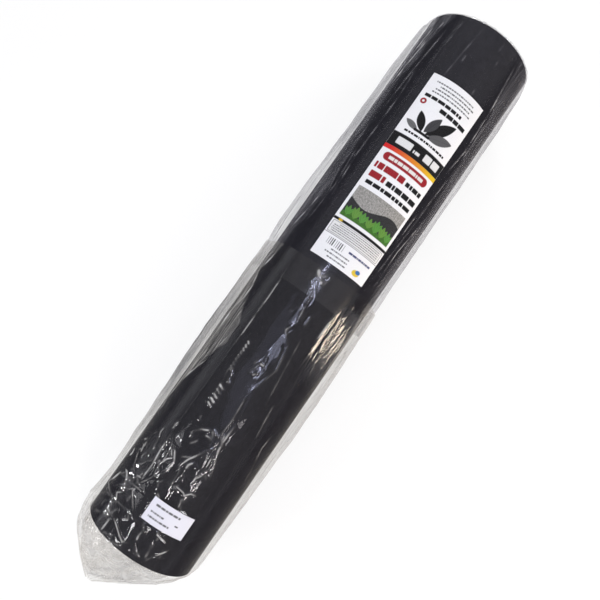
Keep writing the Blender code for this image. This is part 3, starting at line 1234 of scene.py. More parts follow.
@dataclass
class FilmBag:
    """A film bag over one end of the roll, wrinkled and creased.

    Its methods take places along the roll as a column, and give a value for every place and angle.
    """

    section: BagSection
    finish: FilmFinish
    seed: int

    COLUMNS: ClassVar[Table] = (
        (-114.0, -35.0, 0.8), (-35.0, 70.0, 0.65), (70.0, 114.0, 0.8), (114.0, 246.0, 2.6),
    )
    WING_START = 0.3 * MM
    WING_WIDTH = 9.0 * MM
    GLOSS_MIDDLE = 2.5
    MOUTH_WAVE = 1.3 * MM
    MOUTH_REACH = 0.02

    LONG_FOLDS = Wrinkles(1, 0.16, 0.017, 1.2)
    SHORT_FOLDS = Wrinkles(2, 0.07, 0.008, 1.1)
    SWAY = Wrinkles(3, 0.09, 0.04, 0.6, ridged=False)
    TIGHT_LINES = Wrinkles(4, 0.13, 0.017, 0.8)
    TIGHT_PATCHES = Wrinkles(5, 0.12, 0.05, ridged=False)
    STREAKS = Wrinkles(8, 0.19, 0.0085, 1.0)
    SWELL = Wrinkles(9, 0.055, 0.024, 0.7, ridged=False)
    VEIL_EDGE = Wrinkles(11, 0.03, 0.2, ridged=False)
    HAZE_PATCHES = Wrinkles(13, 0.1, 0.018, 1.0, ridged=False)
    BREAKS = Wrinkles(14, 0.02, 0.02, ridged=False)
    PAINTED_SHADE_STREAKS = Wrinkles(15, 0.16, 0.011, 1.2, ridged=False)
    MOUTH_WAVES = Wrinkles(20, 0.5, 0.05, ridged=False)

    CREASES: ClassVar[tuple[Crease, ...]] = ()
    VEIL_HAZE = 0.0
    VEIL: ClassVar[dict[Side, Table]] = {}
    # Strengths of the wings' painted reflection of the dark roll, by place along the roll.
    PAINTED_SHADE_AND_REFLECTION: ClassVar[dict[Side, Table]] = {}

    def __post_init__(self) -> None:
        """Set out the angles of the bag's columns, closer over the top of the roll."""
        degrees = np.concatenate([np.arange(*span) for span in self.COLUMNS])
        self.angles = np.radians(np.sort(degrees % 360.0))

    def noise(self, number: int, width: float) -> SmoothNoise:
        """Noise of the bag's own, with cells of this width round the roll."""
        return SmoothNoise(self.seed + number, max(4, round(TURN * self.section.circle / width)))

    def field(self, along: Array, wrinkles: Wrinkles) -> Array:
        """A field of wrinkles over the bag.

        Args:
            along: Places along the roll.
            wrinkles: The field's number, sizes and kind.

        Returns:
            Heights from 0 to 1, or about -1 to 1 if it isn't ridged.
        """
        noise = self.noise(wrinkles.number, wrinkles.width)
        bend = self.noise(wrinkles.number + 50, 5.0 * wrinkles.width)
        row, column = along / wrinkles.length, self.angles[None, :] / TURN * noise.around_cells
        turn = self.angles[None, :] / TURN * bend.around_cells
        push = wrinkles.warp * bend.sample(along / (3.0 * wrinkles.length) + 3.0, turn)
        pull = wrinkles.warp * bend.sample(along / (2.0 * wrinkles.length) + 40.0, turn)
        read = noise.ridges if wrinkles.ridged else noise.sample
        return read(row + push, column + pull)

    def facets(self, along: Array, number: int, cell: float) -> Array:
        """Flat facets over the bag.

        Args:
            along: Places along the roll.
            number: Number that sets these facets apart from others.
            cell: Rough width of a facet.

        Returns:
            Heights from -1 to 1.
        """
        around = ((self.angles + math.pi) % TURN - math.pi) * self.section.circle
        order = np.argsort(around)
        ends = float(along.min()), float(along.max())
        facets = Facets(self.seed + number, ends, (float(around.min()), float(around.max())), cell)
        heights = np.empty((along.size, around.size))
        heights[:, order] = facets.over(along[:, 0], around[order])
        return heights

    def wing(self, along: Array) -> Array:
        """How far the smooth film is off the roll, from 0 on it to 1 in the wings at its sides."""
        off = self.section.radius(along, self.angles[None, :]) - self.section.circle
        return np.clip((off - self.WING_START) / self.WING_WIDTH, 0.0, 1.0)

    def degrees(self) -> Array:
        """Angles of the bag's columns, from -180 to 180 degrees, as a row."""
        return ((np.degrees(self.angles) + 180.0) % 360.0 - 180.0)[None, :]

    def veil(self, along: Array) -> Array:
        """Where the film has come away from the roll and looks milky.

        Each row of the bag's tables is a place in millimetres, the angle at which the veil starts there, and
        its strength.

        Args:
            along: Places along the roll.

        Returns:
            Strengths from 0 near the top of the roll to about 1 at its sides.
        """
        angle = self.degrees()
        uneven = 3.0 * self.field(along, self.VEIL_EDGE)
        share = np.zeros(np.broadcast(along, angle).shape)
        for side in Side:
            table = np.array(self.VEIL[side])
            start = np.interp(along, table[:, 0] * MM, table[:, 1]) + uneven
            strength = np.interp(along, table[:, 0] * MM, table[:, 2])
            share = np.maximum(share, strength * smooth_step(-1.5, 2.5, side.value * angle - start))
        return share * (np.abs(angle) < 140.0)

    def painted_shade_and_reflection(self, along: Array) -> Array:
        """How far the wings are darkened with a painted reflection of the dark roll that they mirror.

        Each row of the bag's tables is a place in millimetres and the strength there.

        Args:
            along: Places along the roll.

        Returns:
            The shares from 0 to 1.
        """
        wing = self.wing(along)
        streaks = np.clip(0.35 + 1.1 * self.field(along, self.PAINTED_SHADE_STREAKS), 0.0, 1.0)
        dark = np.zeros_like(wing)
        for side in Side:
            table = np.array(self.PAINTED_SHADE_AND_REFLECTION[side])
            beside = side.value * self.degrees() > 0.0
            dark += np.interp(along, table[:, 0] * MM, table[:, 1]) * beside
        return dark * np.clip(2.5 * wing, 0.0, 1.0) * (0.35 + 0.65 * streaks)

    def gloss(self, along: Array) -> Array:
        """How strongly the film mirrors the room: up to 1, and less at its sides, where it is milky."""
        share = smooth_step(47.5, 38.5, np.abs(self.degrees() - self.GLOSS_MIDDLE))
        return np.repeat(share, along.size, axis=0)

    def painted_crest_highlights(self, along: Array) -> Array:
        """How far the film is whitened on its folds and lines, as a painted highlight.

        Args:
            along: Places along the roll.

        Returns:
            The shares from 0 to 1.
        """
        crease = np.clip(self.creased(along) / (0.68 * MM), 0.0, 1.0) ** 2.5
        broken = np.clip(0.55 + self.field(along, self.BREAKS), 0.12, 1.0)
        lines = smooth_step(0.6, 1.0, self.streaks(along)) ** 2
        strength = 0.27 * self.veil(along) + 0.12 * self.wing(along)
        return np.clip(crease * broken + strength * lines, 0.0, 1.0)

    def cover(self, along: Array, heights: Array) -> Array:
        """Points of the film over the roll.

        Args:
            along: Places along the roll.
            heights: How far the film is raised off its smooth form.

        Returns:
            The points.
        """
        radius = self.section.radius(along, self.angles[None, :]) + heights
        radius = self.section.settle(radius, self.angles[None, :])
        return self.section.roll.place(along, radius, self.angles[None, :])

    def covered(self, along: Array) -> Array:
        """Points of the wrinkled film over the roll, with a slightly wavy mouth.

        Args:
            along: Places along the roll from the mouth on, as a column.

        Returns:
            The points.
        """
        mouth = self.section.mouth
        outward = math.copysign(self.MOUTH_WAVE, mouth - self.section.end)
        points = self.cover(along, self.raised(along))
        waves = outward * self.field(along, self.MOUTH_WAVES)
        points[..., 0] += waves * np.exp(-np.abs(along - mouth) / self.MOUTH_REACH)
        return points

    def raised(self, along: Array) -> Array:
        """Heights of the film's wrinkles over the roll, in metres, for a column of places along it."""
        raise NotImplementedError

    def last_ring(self) -> tuple[Array, Array, Array]:
        """The ring of film points at the end of the roll.

        Returns:
            The points, and their lowest and highest x, y and z.
        """
        end = np.array([[self.section.end]])
        ring = self.cover(end, self.raised(end))[0]
        return ring, ring.min(axis=0), ring.max(axis=0)

    def wing_folds(self, along: Array) -> Array:
        """Long folds in the wings and fine lines over the whole bag.

        Args:
            along: Places along the roll.

        Returns:
            Heights in metres.
        """
        long_folds, short_folds = self.field(along, self.LONG_FOLDS), self.field(along, self.SHORT_FOLDS)
        sway = self.field(along, self.SWAY)
        folds = 2.2 * MM * (long_folds - 0.5) + 1.6 * MM * short_folds**1.5 + 1.4 * MM * sway
        edge = np.abs(np.abs(self.degrees()) - math.degrees(self.section.crease_angle))
        folds = folds * (0.2 + 0.8 * smooth_step(1.0, 15.0, edge))
        lines = 0.8 * MM * smooth_step(0.1, 1.0, self.streaks(along))
        return self.wing(along) * folds + lines * np.clip(self.veil(along), 0.0, 1.0)

    def streaks(self, along: Array) -> Array:
        """Long thin lines of the film, from 0 between them to 1 on them."""
        return self.field(along, self.STREAKS)

    def creased(self, along: Array) -> Array:
        """Heights of the bag's single creases.

        Args:
            along: Places along the roll.

        Returns:
            Heights in metres.
        """
        heights = np.zeros((along.size, self.angles.size))
        for crease in self.CREASES:
            crease.add_to(heights, along[:, 0], self.angles, self.section.circle)
        return heights

    def haze(self, along: Array) -> Array:
        """Haze of the film over the roll: more where it is off the roll, and on its creases and lines.

        Args:
            along: Places along the roll.

        Returns:
            The haze, where 1 is that of the flat film.
        """
        lines = smooth_step(0.45, 1.0, self.streaks(along))
        patches = np.clip(0.5 + 0.9 * self.field(along, self.HAZE_PATCHES), 0.0, 1.0)
        veil = self.veil(along) * (0.3 + 0.85 * patches + 0.6 * lines)
        wing = self.wing(along) * (0.15 + 1.2 * self.painted_shade_and_reflection(along))
        flat = 1.0 - 0.88 * smooth_step(26.0, 42.0, np.abs(self.degrees()))
        return flat + self.VEIL_HAZE * (np.maximum(veil, wing) + 0.012 * lines)

    def tight_lines(self, along: Array) -> Array:
        """Fine lines where the film is tight on the roll.

        Args:
            along: Places along the roll.

        Returns:
            Heights in metres.
        """
        lines = smooth_step(0.3, 1.0, self.field(along, self.TIGHT_LINES))
        patches = np.clip(0.5 + 1.3 * self.field(along, self.TIGHT_PATCHES), 0.0, 1.0)
        swell = 0.5 + 0.5 * self.field(along, self.SWELL)
        return 0.2 * MM * lines * patches + 0.3 * MM * swell

    def dress(
        self, name: str, grids: list[GridSurface], looks: dict[str, list[Array]], body: Body
    ) -> Piece:
        """Join the bag's grids into one piece.

        Args:
            name: Name of the piece.
            grids: Its grids.
            looks: Values of each of the film's attributes at each grid's points.
            body: Body that it rides on.

        Returns:
            The bag.
        """
        points, faces, passed = [], [], 0
        for grid in grids:
            points.append(grid.points.reshape(-1, 3))
            faces.append(grid.faces() + passed)
            passed += len(points[-1])
        made = mesh_object(name, np.concatenate(points), np.concatenate(faces), self.finish.material())
        for look, values in looks.items():
            set_attribute(made, look, np.concatenate([each.ravel() for each in values]))
        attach(made, body.value)
        return made


@dataclass
class LowerBag(FilmBag):
    """The clearer bag, outside the other where they meet, whose slack end falls to a corner on the floor."""

    section: BagSection = BagSection(
        Roll(),
        circle=99.8 * MM,
        drop=98.243 * MM,
        mouth=27.0 * MM,
        end=-500.6 * MM,
        shares=(
            (0.0, 0.90, 0.78), (0.1, 0.90, 0.80), (0.2, 0.92, 0.89), (0.35, 0.96, 0.95), (0.5, 0.88, 0.93),
            (0.65, 0.77, 0.82), (0.8, 0.66, 0.72), (0.9, 0.62, 0.63), (1.0, 0.86, 0.54),
        ),
    )
    finish: FilmFinish = FilmFinish("clear_polythene", 0.014, (0.63, 0.61, 0.58), 0.08, (0.953, 0.949, 0.942))
    seed: int = 900
    slack_length: float = 153.0 * MM
    slack_rows: int = 92
    corner_offset: float = 35.0 * MM
    corner_width: float = 14.0 * MM
    corner_height: float = 4.0 * MM
    fold_scale: float = 0.9
    fold_span: Span = (0.03, 0.9)
    fold_rows: int = 80

    CREASES: ClassVar[tuple[Crease, ...]] = (
        Crease(((-466, 48), (-468, 30), (-485, 12), (-480, 3)), 0.9),
        Crease(((-497, 25), (-493, 10)), 0.7),
        Crease(((-498, 34), (-470, 33)), 0.9, 4.0),
        Crease(((-452, 62), (-447, 30), (-450, 0)), 0.5),
        Crease(((-455, 58), (-450, 46), (-445, 66), (-430, 61), (-420, 58), (-408, 48)), 1.2, 3.4),
        Crease(((-452, 36), (-440, 44), (-432, 38), (-418, 47)), 0.8),
        Crease(((-438, 52), (-428, 46), (-415, 40)), 0.8),
        Crease(((-462, 25), (-455, 18), (-447, 22)), 0.8),
        Crease(((-411, 50), (-412, 34), (-410, 18)), 0.7),
        Crease(((-442, 18), (-420, 30), (-410, 30)), 0.8),
        Crease(((-400, 41), (-390, 47), (-382, 50), (-372, 54)), 1.0, 3.0),
        Crease(((-392, 63), (-385, 61), (-376, 63)), 1.0, 3.6),
        Crease(((-400, 30), (-370, 29), (-345, 31), (-313, 30)), 1.0, 3.0),
        Crease(((-313, 30), (-330, 24), (-345, 17)), 0.8),
        Crease(((-383, 20), (-378, 23), (-340, 23), (-325, 27), (-313, 30)), 0.7),
        Crease(((-383, 20), (-365, 15), (-345, 14), (-325, 22)), 0.9),
        Crease(((-385, 5), (-355, 5), (-345, 8), (-330, 5), (-310, -2), (-295, -8), (-290, -10)), 0.9, 3.0),
        Crease(((-400, -12), (-385, -10), (-380, -14)), 0.8),
        Crease(((-363, -10), (-345, -9), (-330, -12), (-300, -10)), 0.9),
        Crease(((-340, -20), (-320, -17), (-295, -12), (-280, -11), (-250, -12)), 1.0, 3.6),
        Crease(((-290, -5), (-250, -7), (-200, -5)), 0.6),
        Crease(((-390, -10), (-382, -13), (-375, -8), (-373, 0), (-367, -1)), 0.8),
        Crease(((-452, -22), (-448, -10), (-438, -9)), 0.9),
        Crease(((-490, -14), (-478, -18), (-460, -27)), 0.9),
        Crease(((-303, 14), (-297, 15), (-291, 15)), 0.7, 3.2),
        Crease(((-268, -15), (-262, -15), (-255, -16)), 0.6, 3.2),
        Crease(((-275, 17), (-265, 18)), 0.6),
        Crease(((-245, 16), (-236, 17)), 0.6),
        Crease(((-228, 19), (-213, 20), (-206, 20)), 0.6),
        Crease(((-200, 16), (-178, 19)), 0.7),
        Crease(((-320, -57), (-260, -49), (-235, -51)), 0.7),
        Crease(((-250, -35), (-208, -32), (-192, -31)), 0.7),
        Crease(((-200, -24), (-140, -20), (-80, -16)), 0.5),
        Crease(((-130, -47), (-95, -41), (-60, -35)), 0.6),
        Crease(((-200, -5), (-145, -14), (-105, -10), (-80, 0)), 0.5, 3.4),
        Crease(((-105, -8), (-85, 0), (-68, -5), (-50, -3), (-20, -2), (-12, 2), (10, 12)), 0.7, 3.0),
        Crease(((-66, -12), (-45, -12)), 0.6),
        Crease(((-76, -29), (-10, -30)), 0.8, 4.0),
        Crease(((-62, -36), (-14, -37)), 0.8, 3.0),
        Crease(((-92, -46), (-50, -47), (-12, -47)), 0.8, 3.0),
        Crease(((-80, -52), (-14, -53)), 0.7),
        Crease(((-70, -57), (-16, -58)), 0.7),
        Crease(
            ((-335, 86), (-320, 70), (-300, 67), (-280, 70), (-255, 63), (-230, 60), (-200, 50), (-120, 40)),
            0.8,
        ),
        Crease(((-150, 63), (-110, 64), (-80, 58), (-60, 57), (-30, 64), (0, 58), (25, 55)), 1.0, 3.4),
        Crease(((-470, 31.6), (-250, 31.8), (26, 31.6)), 0.3, 1.6),
        Crease(((-150, 31.3), (-109, 31.1), (-60, 30.6), (-13, 31.2)), 1.0, 2.0),
        Crease(((-150.5, 1.8), (-150, -3.4)), 1.2, 3.2),
        Crease(((-172, 1.9), (-164, -3.0)), 0.9, 3.0),
        Crease(((2, -4), (12, 3), (22, 7)), 1.1, 5.0),
        Crease(((12, 3), (19, -4)), 0.9, 4.6),
        *(Crease(((-132 - 6.5 * n, 22.3), (-137 - 6.5 * n, 19.6)), 1.2, 2.7) for n in range(8)),
        Crease(((-130, 21.2), (-180, 21.2), (-189, 22), (-203, 20)), 0.7, 2.6),
        Crease(((-179, 21), (-191, 15.6)), 1.4, 3.2),
        Crease(((-194, 17.4), (-203, 14)), 1.3, 3.0),
        *(Crease(((-211 - 8 * n, 21), (-216 - 8 * n, 14.5)), 1.3, 2.8) for n in range(5)),
        *strewn_creases(17, 80),
        *strewn_glints(23, 20),
    )

    VEIL_HAZE = 22.0
    VEIL: ClassVar[dict[Side, Table]] = {
        Side.FREE_EDGE: (
            (-500, 76, 0.4), (-335, 80, 0.5), (-320, 70, 0.7), (-280, 68, 0.9), (-226, 58, 1.0),
            (-200, 50, 1.0), (-160, 43, 1.0), (-118, 40, 0.9), (-85, 52, 0.9), (-30, 62, 0.8),
            (27, 55, 0.5),
        ),
        Side.FAR: ((-500, 74, 0.25), (-300, 71, 0.3), (-150, 68, 0.3), (-80, 64, 0.4), (27, 57, 0.5)),
    }
    # Strengths of the wings' painted reflection of the dark roll, by place along the roll.
    PAINTED_SHADE_AND_REFLECTION: ClassVar[dict[Side, Table]] = {
        Side.FREE_EDGE: (
            (-500, 0.1), (-400, 0.2), (-330, 0.55), (-240, 0.75), (-100, 0.8), (-40, 0.5), (0, 0.2),
            (27, 0.1),
        ),
        Side.FAR: ((-500, 0.2), (-200, 0.25), (27, 0.2)),
    }
    # Lines from the slack's corner along which its folds get painted shade.
    PAINTED_FOLD_SHADE_LINES: ClassVar[tuple[Zone, ...]] = (
        ((-640, 46), (-608, -3)),
        ((-608, -3), (-579, -62)),
        ((-604, -3), (-566, -24)),
    )
    GATHERS = Wrinkles(12, 0.24, 0.0115, 0.5)
    SLACK_PLEATS = Wrinkles(30, 0.12, 0.03, 1.3)
    SLACK_SWELL = Wrinkles(33, 0.06, 0.07, 0.5, ridged=False)
    FOLD_NUMBER = 40

    CRUSHED = (-0.24, -0.33)
    CRUSHED_ROUND = ((-50.0, -20.0), (100.0, 55.0))
    STICKER_ALONG = ((-0.445, -0.4405), (-0.398, -0.4025))
    STICKER_ROUND = ((-34.0, -31.5), (13.0, 10.3))
    UNDER_STICKER = 0.35 * MM
    GATHERS_ALONG = ((-0.145, -0.085), (0.004, -0.012))
    GATHERS_ROUND = ((-70.0, -60.0), (-17.0, -25.0))
    GATHERS_MIRROR = ((-0.15, -0.095), (0.006, -0.01))

    def raised(self, along: Array) -> Array:
        """Heights of the film's wrinkles over the roll, which stay low under the sticker.

        Args:
            along: Places along the roll.

        Returns:
            Heights in metres.
        """
        inside = 0.3 + 0.7 * smooth_step(0.027, -0.012, along)
        heights = self.wing_folds(along) * inside + self.tight_lines(along)
        crumple = smooth_step(*self.CRUSHED, along) * self.crumple_band()
        coarse, fine = self.facets(along, 6, 0.021), self.facets(along, 7, 0.011)
        gathers = self.gathers(along)
        heights = heights + crumple * (0.7 + 0.55 * coarse + 0.13 * fine) * MM + gathers
        heights = heights + (gathers == 0.0) * (0.25 + 0.17 * coarse + 0.02 * fine) * MM
        heights = np.maximum(heights, -0.05 * MM) + self.creased(along)
        sticker = window(*self.STICKER_ALONG, along) * window(*self.STICKER_ROUND, self.degrees())
        return heights * (1.0 - sticker) + np.minimum(heights, self.UNDER_STICKER) * sticker

    def gathers(self, along: Array) -> Array:
        """Short gathers on the far side, beside the other bag's mouth.

        Args:
            along: Places along the roll.

        Returns:
            Heights in metres.
        """
        angle = self.degrees()
        inside = window(*self.GATHERS_ALONG, along) * window(*self.GATHERS_ROUND, angle)
        height = np.interp(angle, (-55.0, -40.0, -30.0), (1.5, 1.3, 0.8)) * MM
        return height * inside * smooth_step(0.0, 1.0, self.field(along, self.GATHERS))

    def gloss(self, along: Array) -> Array:
        """How strongly the film mirrors the room, which is still much on its gathers.

        Args:
            along: Places along the roll.

        Returns:
            Shares up to 1.
        """
        angle = self.degrees()
        gathered = window(*self.GATHERS_MIRROR, along)
        gathered = gathered * smooth_step(-68.0, -60.0, angle) * (angle < 0.0)
        dull = 1.0 - 0.65 * smooth_step(-17.0, -33.0, angle)
        return np.maximum(super().gloss(along) * dull, gathered)

    def crumple_band(self) -> Array:
        """Where round the roll the film is crushed, from 0 to 1, as a row."""
        return window(*self.CRUSHED_ROUND, self.degrees())

    def slack(self, share: Array, scale: float, number: int) -> Array:
        """Points of the slack end past the roll.

        Args:
            share: Shares of the slack's length, as a column.
            scale: Scale of its cross-section, less than 1 for a fold inside it.
            number: Number that is added to those of its wrinkles and facets.

        Returns:
            The points, crushed and kept above the floor.
        """
        last, low, high = self.last_ring()
        corner = self.corner_offset - self.corner_width / 2.0, self.corner_offset + self.corner_width / 2.0
        near = corner[0] + (low[1] - corner[0]) * (1.0 - share**1.5)
        far = corner[1] + (high[1] - corner[1]) * (1.0 - share**2.3)
        height = self.corner_height + (high[2] - low[2] - self.corner_height) * (1.0 - share) ** 1.15
        middle = (near + far) / 2.0
        y = middle + ((last[:, 1] - low[1]) / (high[1] - low[1]) - 0.5) * (far - near) * scale
        z = low[2] + (last[:, 2] - low[2]) / (high[2] - low[2]) * height * scale
        along = self.section.end - self.slack_length * share
        smooth = GridSurface(np.stack(np.broadcast_arrays(along, y, z), axis=-1))
        pleats = self.field(along, replace(self.SLACK_PLEATS, number=self.SLACK_PLEATS.number + number))
        swell = self.field(along, replace(self.SLACK_SWELL, number=self.SLACK_SWELL.number + number))
        start = smooth_step(0.0, 0.12, share) if scale == 1.0 else 1.0
        fade = start * (1.0 - 0.6 * share**3)
        crush = 2.8 * self.facets(along, 31 + number, 0.036) + 0.8 * self.facets(along, 32 + number, 0.018)
        push = (crush + 2.0 * (pleats - 0.45) + 2.0 * swell) * MM * fade
        points = smooth.points + smooth.normals() * push[..., None]
        points[..., 2] = np.maximum(points[..., 2], low[2] + 0.1 * MM)
        return points

    def slack_lines(self, points: Array, number: int) -> Array:
        """Fine lines over the slack end.

        Args:
            points: A grid of its points.
            number: Number that sets these lines apart from others.

        Returns:
            The shares, from 0 to 1.
        """
        noise = SmoothNoise(self.seed + 200 + number)
        x, y = points[..., 0] / 0.09, points[..., 1] / 0.06
        push = noise.sample(x * 0.4 + 7.0, y * 0.4)
        lines = noise.ridges(x + 1.4 * push, y + 1.4 * push + 32.0)
        fine = noise.ridges(2.3 * x + 30.0, 2.3 * y + 2.0 * push + 20.0)
        patches = np.clip(0.5 + 1.2 * noise.sample(x * 0.7 + 90.0, y * 0.7 + 9.0), 0.15, 1.0)
        return np.maximum(0.5 * lines**6, 0.14 * fine**4) * patches

    def slack_clouds(self, points: Array) -> Array:
        """Soft milky patches of the slack end.

        Args:
            points: A grid of its points.

        Returns:
            The shares, from 0 to 1.
        """
        noise = SmoothNoise(self.seed + 260)
        x, y = points[..., 0] / 0.022, points[..., 1] / 0.03 + 32.0
        clouds = np.clip(0.15 + 1.1 * noise.sample(x + noise.sample(0.5 * x, 0.5 * y), y), 0.0, 1.0)
        return 0.75 * clouds**1.5

    def painted_fold_shade(self, points: Array) -> Array:
        """Painted shade: soft grey lines along the folds from the slack's corner.

        Args:
            points: A grid of its points.

        Returns:
            The shares, from 0 to 1.
        """
        share = np.zeros(points.shape[:2])
        for start, end in self.PAINTED_FOLD_SHADE_LINES:
            run = (np.array(end) - start) * MM
            away = points[..., :2] - np.array(start) * MM
            done = np.clip(away @ run / (run @ run), 0.0, 1.0)
            gap = np.linalg.norm(away - done[..., None] * run, axis=-1)
            share = np.maximum(share, smooth_step(5.0 * MM, 0.0, gap))
        return share

    def rows(self) -> Array:
        """Set out the bag's rows over the roll, closer towards the foot, where its creases are finest.

        Returns:
            Places along the roll, as a column.
        """
        mouth, end = self.section.mouth, self.section.end
        spans = ((mouth, -0.125, -2.3 * MM), (-0.126, -0.235, -1.4 * MM), (-0.236, end, -1.12 * MM))
        return np.concatenate([*(np.arange(*span) for span in spans), [end]])[:, None]

    def build(self) -> Piece:
        """Build the bag: its film over the roll, its slack end, and a fold of film inside that.

        Returns:
            The bag.
        """
        along = self.rows()
        share = (np.arange(1, self.slack_rows + 1) / self.slack_rows)[:, None]
        outer = np.concatenate([self.covered(along), self.slack(share, 1.0, 0)])
        fold_share = np.linspace(*self.fold_span, self.fold_rows)[:, None]
        fold = self.slack(fold_share, self.fold_scale, self.FOLD_NUMBER)[:, ::2]
        looks = {"haze": [], "painted_highlight_and_milk": [], "painted_shade_and_reflection": [], "gloss": []}
        for grid in (outer, fold):
            lines, clouds = self.slack_lines(grid, 1), self.slack_clouds(grid)
            looks["haze"].append(0.9 + 8.0 * lines + 4.0 * clouds)
            # The slack's fine lines are whitened as a painted highlight, and its milky patches whiten it too.
            looks["painted_highlight_and_milk"].append(np.maximum(self.slack_lines(grid, 0), clouds))
            # Painted shade on the slack's fine lines and along its folds.
            looks["painted_shade_and_reflection"].append(0.3 * lines + 0.35 * self.painted_fold_shade(grid))
            looks["gloss"].append(np.full(grid.shape[:2], 0.5))
        past, over = slice(along.size, None), slice(along.size)
        # The crests of the slack's pleats get a painted highlight as well.
        pleats = 0.35 * smooth_step(0.75, 1.0, self.field(outer[past, :1, 0], self.SLACK_PLEATS))
        looks["painted_highlight_and_milk"][0][past] = np.maximum(looks["painted_highlight_and_milk"][0][past], pleats)
        covers = {"haze": self.haze, "painted_highlight_and_milk": self.painted_crest_highlights, "painted_shade_and_reflection": self.painted_shade_and_reflection, "gloss": self.gloss}
        for look, values in covers.items():
            looks[look][0][over] = values(along)
        made = self.dress("lower_film_bag", [GridSurface(outer), GridSurface(fold)], looks, Body.LOWER_BAG)
        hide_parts("lower_bag_film")
        return made


@dataclass
class UpperBag(FilmBag):
    """The hazier bag over the label, closed by a level seal past the end of the roll."""

    section: BagSection = BagSection(
        Roll(),
        circle=99.4 * MM,
        drop=97.843 * MM,
        mouth=-22.0 * MM,
        end=500.6 * MM,
        shares=(
            (0.0, 0.84, 0.68), (0.1, 0.84, 0.68), (0.17, 1.0, 0.66), (0.3, 1.0, 0.62), (0.45, 0.88, 0.62),
            (0.65, 0.82, 0.62), (0.85, 0.80, 0.60), (1.0, 0.62, 0.48),
        ),
    )
    finish: FilmFinish = FilmFinish("hazy_polythene", 0.036, (0.52, 0.51, 0.56), 0.16, (0.94, 0.94, 0.94))
    seed: int = 500
    row_step: float = 2.1 * MM
    pillow_depth: float = 29.0 * MM
    pillow_rows: int = 30
    seal_width: float = 156.0 * MM
    seal_depth: float = 9.0 * MM
    seal_half_gap: float = 0.3 * MM
    seal_rows: int = 8

    CREASES: ClassVar[tuple[Crease, ...]] = (
        Crease(((60, 62), (100, 55), (130, 53)), 0.9),
        Crease(((110, 40), (150, 48), (200, 53), (220, 50)), 0.6),
        Crease(((340, 65), (400, 60), (450, 53), (498, 47)), 0.9, 3.2),
        Crease(((420, 64), (478, 58)), 0.9),
        Crease(((428, 59), (470, 55)), 0.8),
        Crease(((120, -41), (190, -43)), 0.7),
        Crease(((110, -45), (220, -49)), 0.6),
        Crease(((40, -51), (120, -50), (200, -58)), 0.8),
        Crease(((260, -43), (320, -48), (400, -45), (498, -37)), 0.8, 3.0),
        Crease(((424, 8), (438, 8)), 0.5, 3.0),
        Crease(((448, -20), (462, -20)), 0.5, 3.0),
        Crease(((474, -15), (487, -15)), 0.5, 3.0),
        Crease(((389, -17), (401, -17)), 0.5, 3.0),
        Crease(((375, 15), (440, 12), (498, 8)), 0.5),
        Crease(((130, -12), (210, -15), (290, -18)), 0.35, 5.0),
        Crease(((30, 31.6), (250, 31.8), (498, 31.6)), 0.3, 1.6),
        Crease(((120, 38), (210, 43), (330, 41), (400, 44)), 0.62, 3.4),
        Crease(((70, 47), (150, 43), (240, 49)), 0.6, 3.2),
        Crease(((300, 50), (380, 46), (470, 40)), 0.62, 3.4),
        Crease(((400, 33), (497, 29)), 0.5, 3.6),
        Crease(((180, -46), (290, -52), (380, -50)), 0.66, 3.2),
        Crease(((60, -43), (150, -46)), 0.6, 3.0),
    )

    VEIL_HAZE = 5.0
    VEIL: ClassVar[dict[Side, Table]] = {
        Side.FREE_EDGE: (
            (-22, 58, 0.4), (60, 56, 0.5), (100, 49, 0.55), (130, 46, 0.55), (220, 49, 0.5), (340, 56, 0.6),
            (400, 53, 0.65), (450, 47, 0.75), (500, 43, 0.75),
        ),
        Side.FAR: (
            (-22, 62, 0.4), (60, 55, 0.6), (200, 57, 0.6), (320, 50, 0.5), (400, 47, 0.5), (500, 40, 0.5),
        ),
    }
    # Strengths of the wings' painted reflection of the dark roll, by place along the roll.
    PAINTED_SHADE_AND_REFLECTION: ClassVar[dict[Side, Table]] = {
        Side.FREE_EDGE: ((-22, 0.1), (60, 0.25), (150, 0.2), (300, 0.5), (500, 0.6)),
        Side.FAR: ((-22, 0.1), (60, 0.2), (500, 0.4)),
    }
    PLEATS = Wrinkles(30, 0.2, 0.014, 0.3)
    CRUSH = Wrinkles(31, 0.02, 0.03, 1.2)

    FREE = (0.02, 0.045)
    LABEL_ALONG = ((0.036, 0.039), (0.391, 0.388))
    LABEL_ROUND = ((-38.5, -37.0), (25.0, 23.5))

    def raised(self, along: Array) -> Array:
        """Heights of the film's wrinkles over the roll, lower where the other bag holds it down.

        Args:
            along: Places along the roll.

        Returns:
            Heights in metres.
        """
        free = smooth_step(*self.FREE, along)
        heights = self.wing_folds(along) * (0.35 + 0.65 * free) + self.tight_lines(along) * (0.4 + 0.6 * free)
        return np.maximum(heights, -0.05 * MM) + self.creased(along) * free

    def over_label(self, along: Array) -> Array:
        """Where the film is pressed flat on the label, from 0 to 1, for a column of places along the roll."""
        inside = window(*self.LABEL_ALONG, along)
        return inside * window(*self.LABEL_ROUND, self.degrees())

    def haze(self, along: Array) -> Array:
        """Haze of the film over the roll, and less where it is pressed on the label."""
        return super().haze(along) * (1.0 - 0.75 * self.over_label(along))

    def gloss(self, along: Array) -> Array:
        """How strongly the film mirrors the room, and less where it is pressed on the label."""
        return smooth_step(38.0, 26.0, np.abs(self.degrees())) * (1.0 - 0.6 * self.over_label(along))

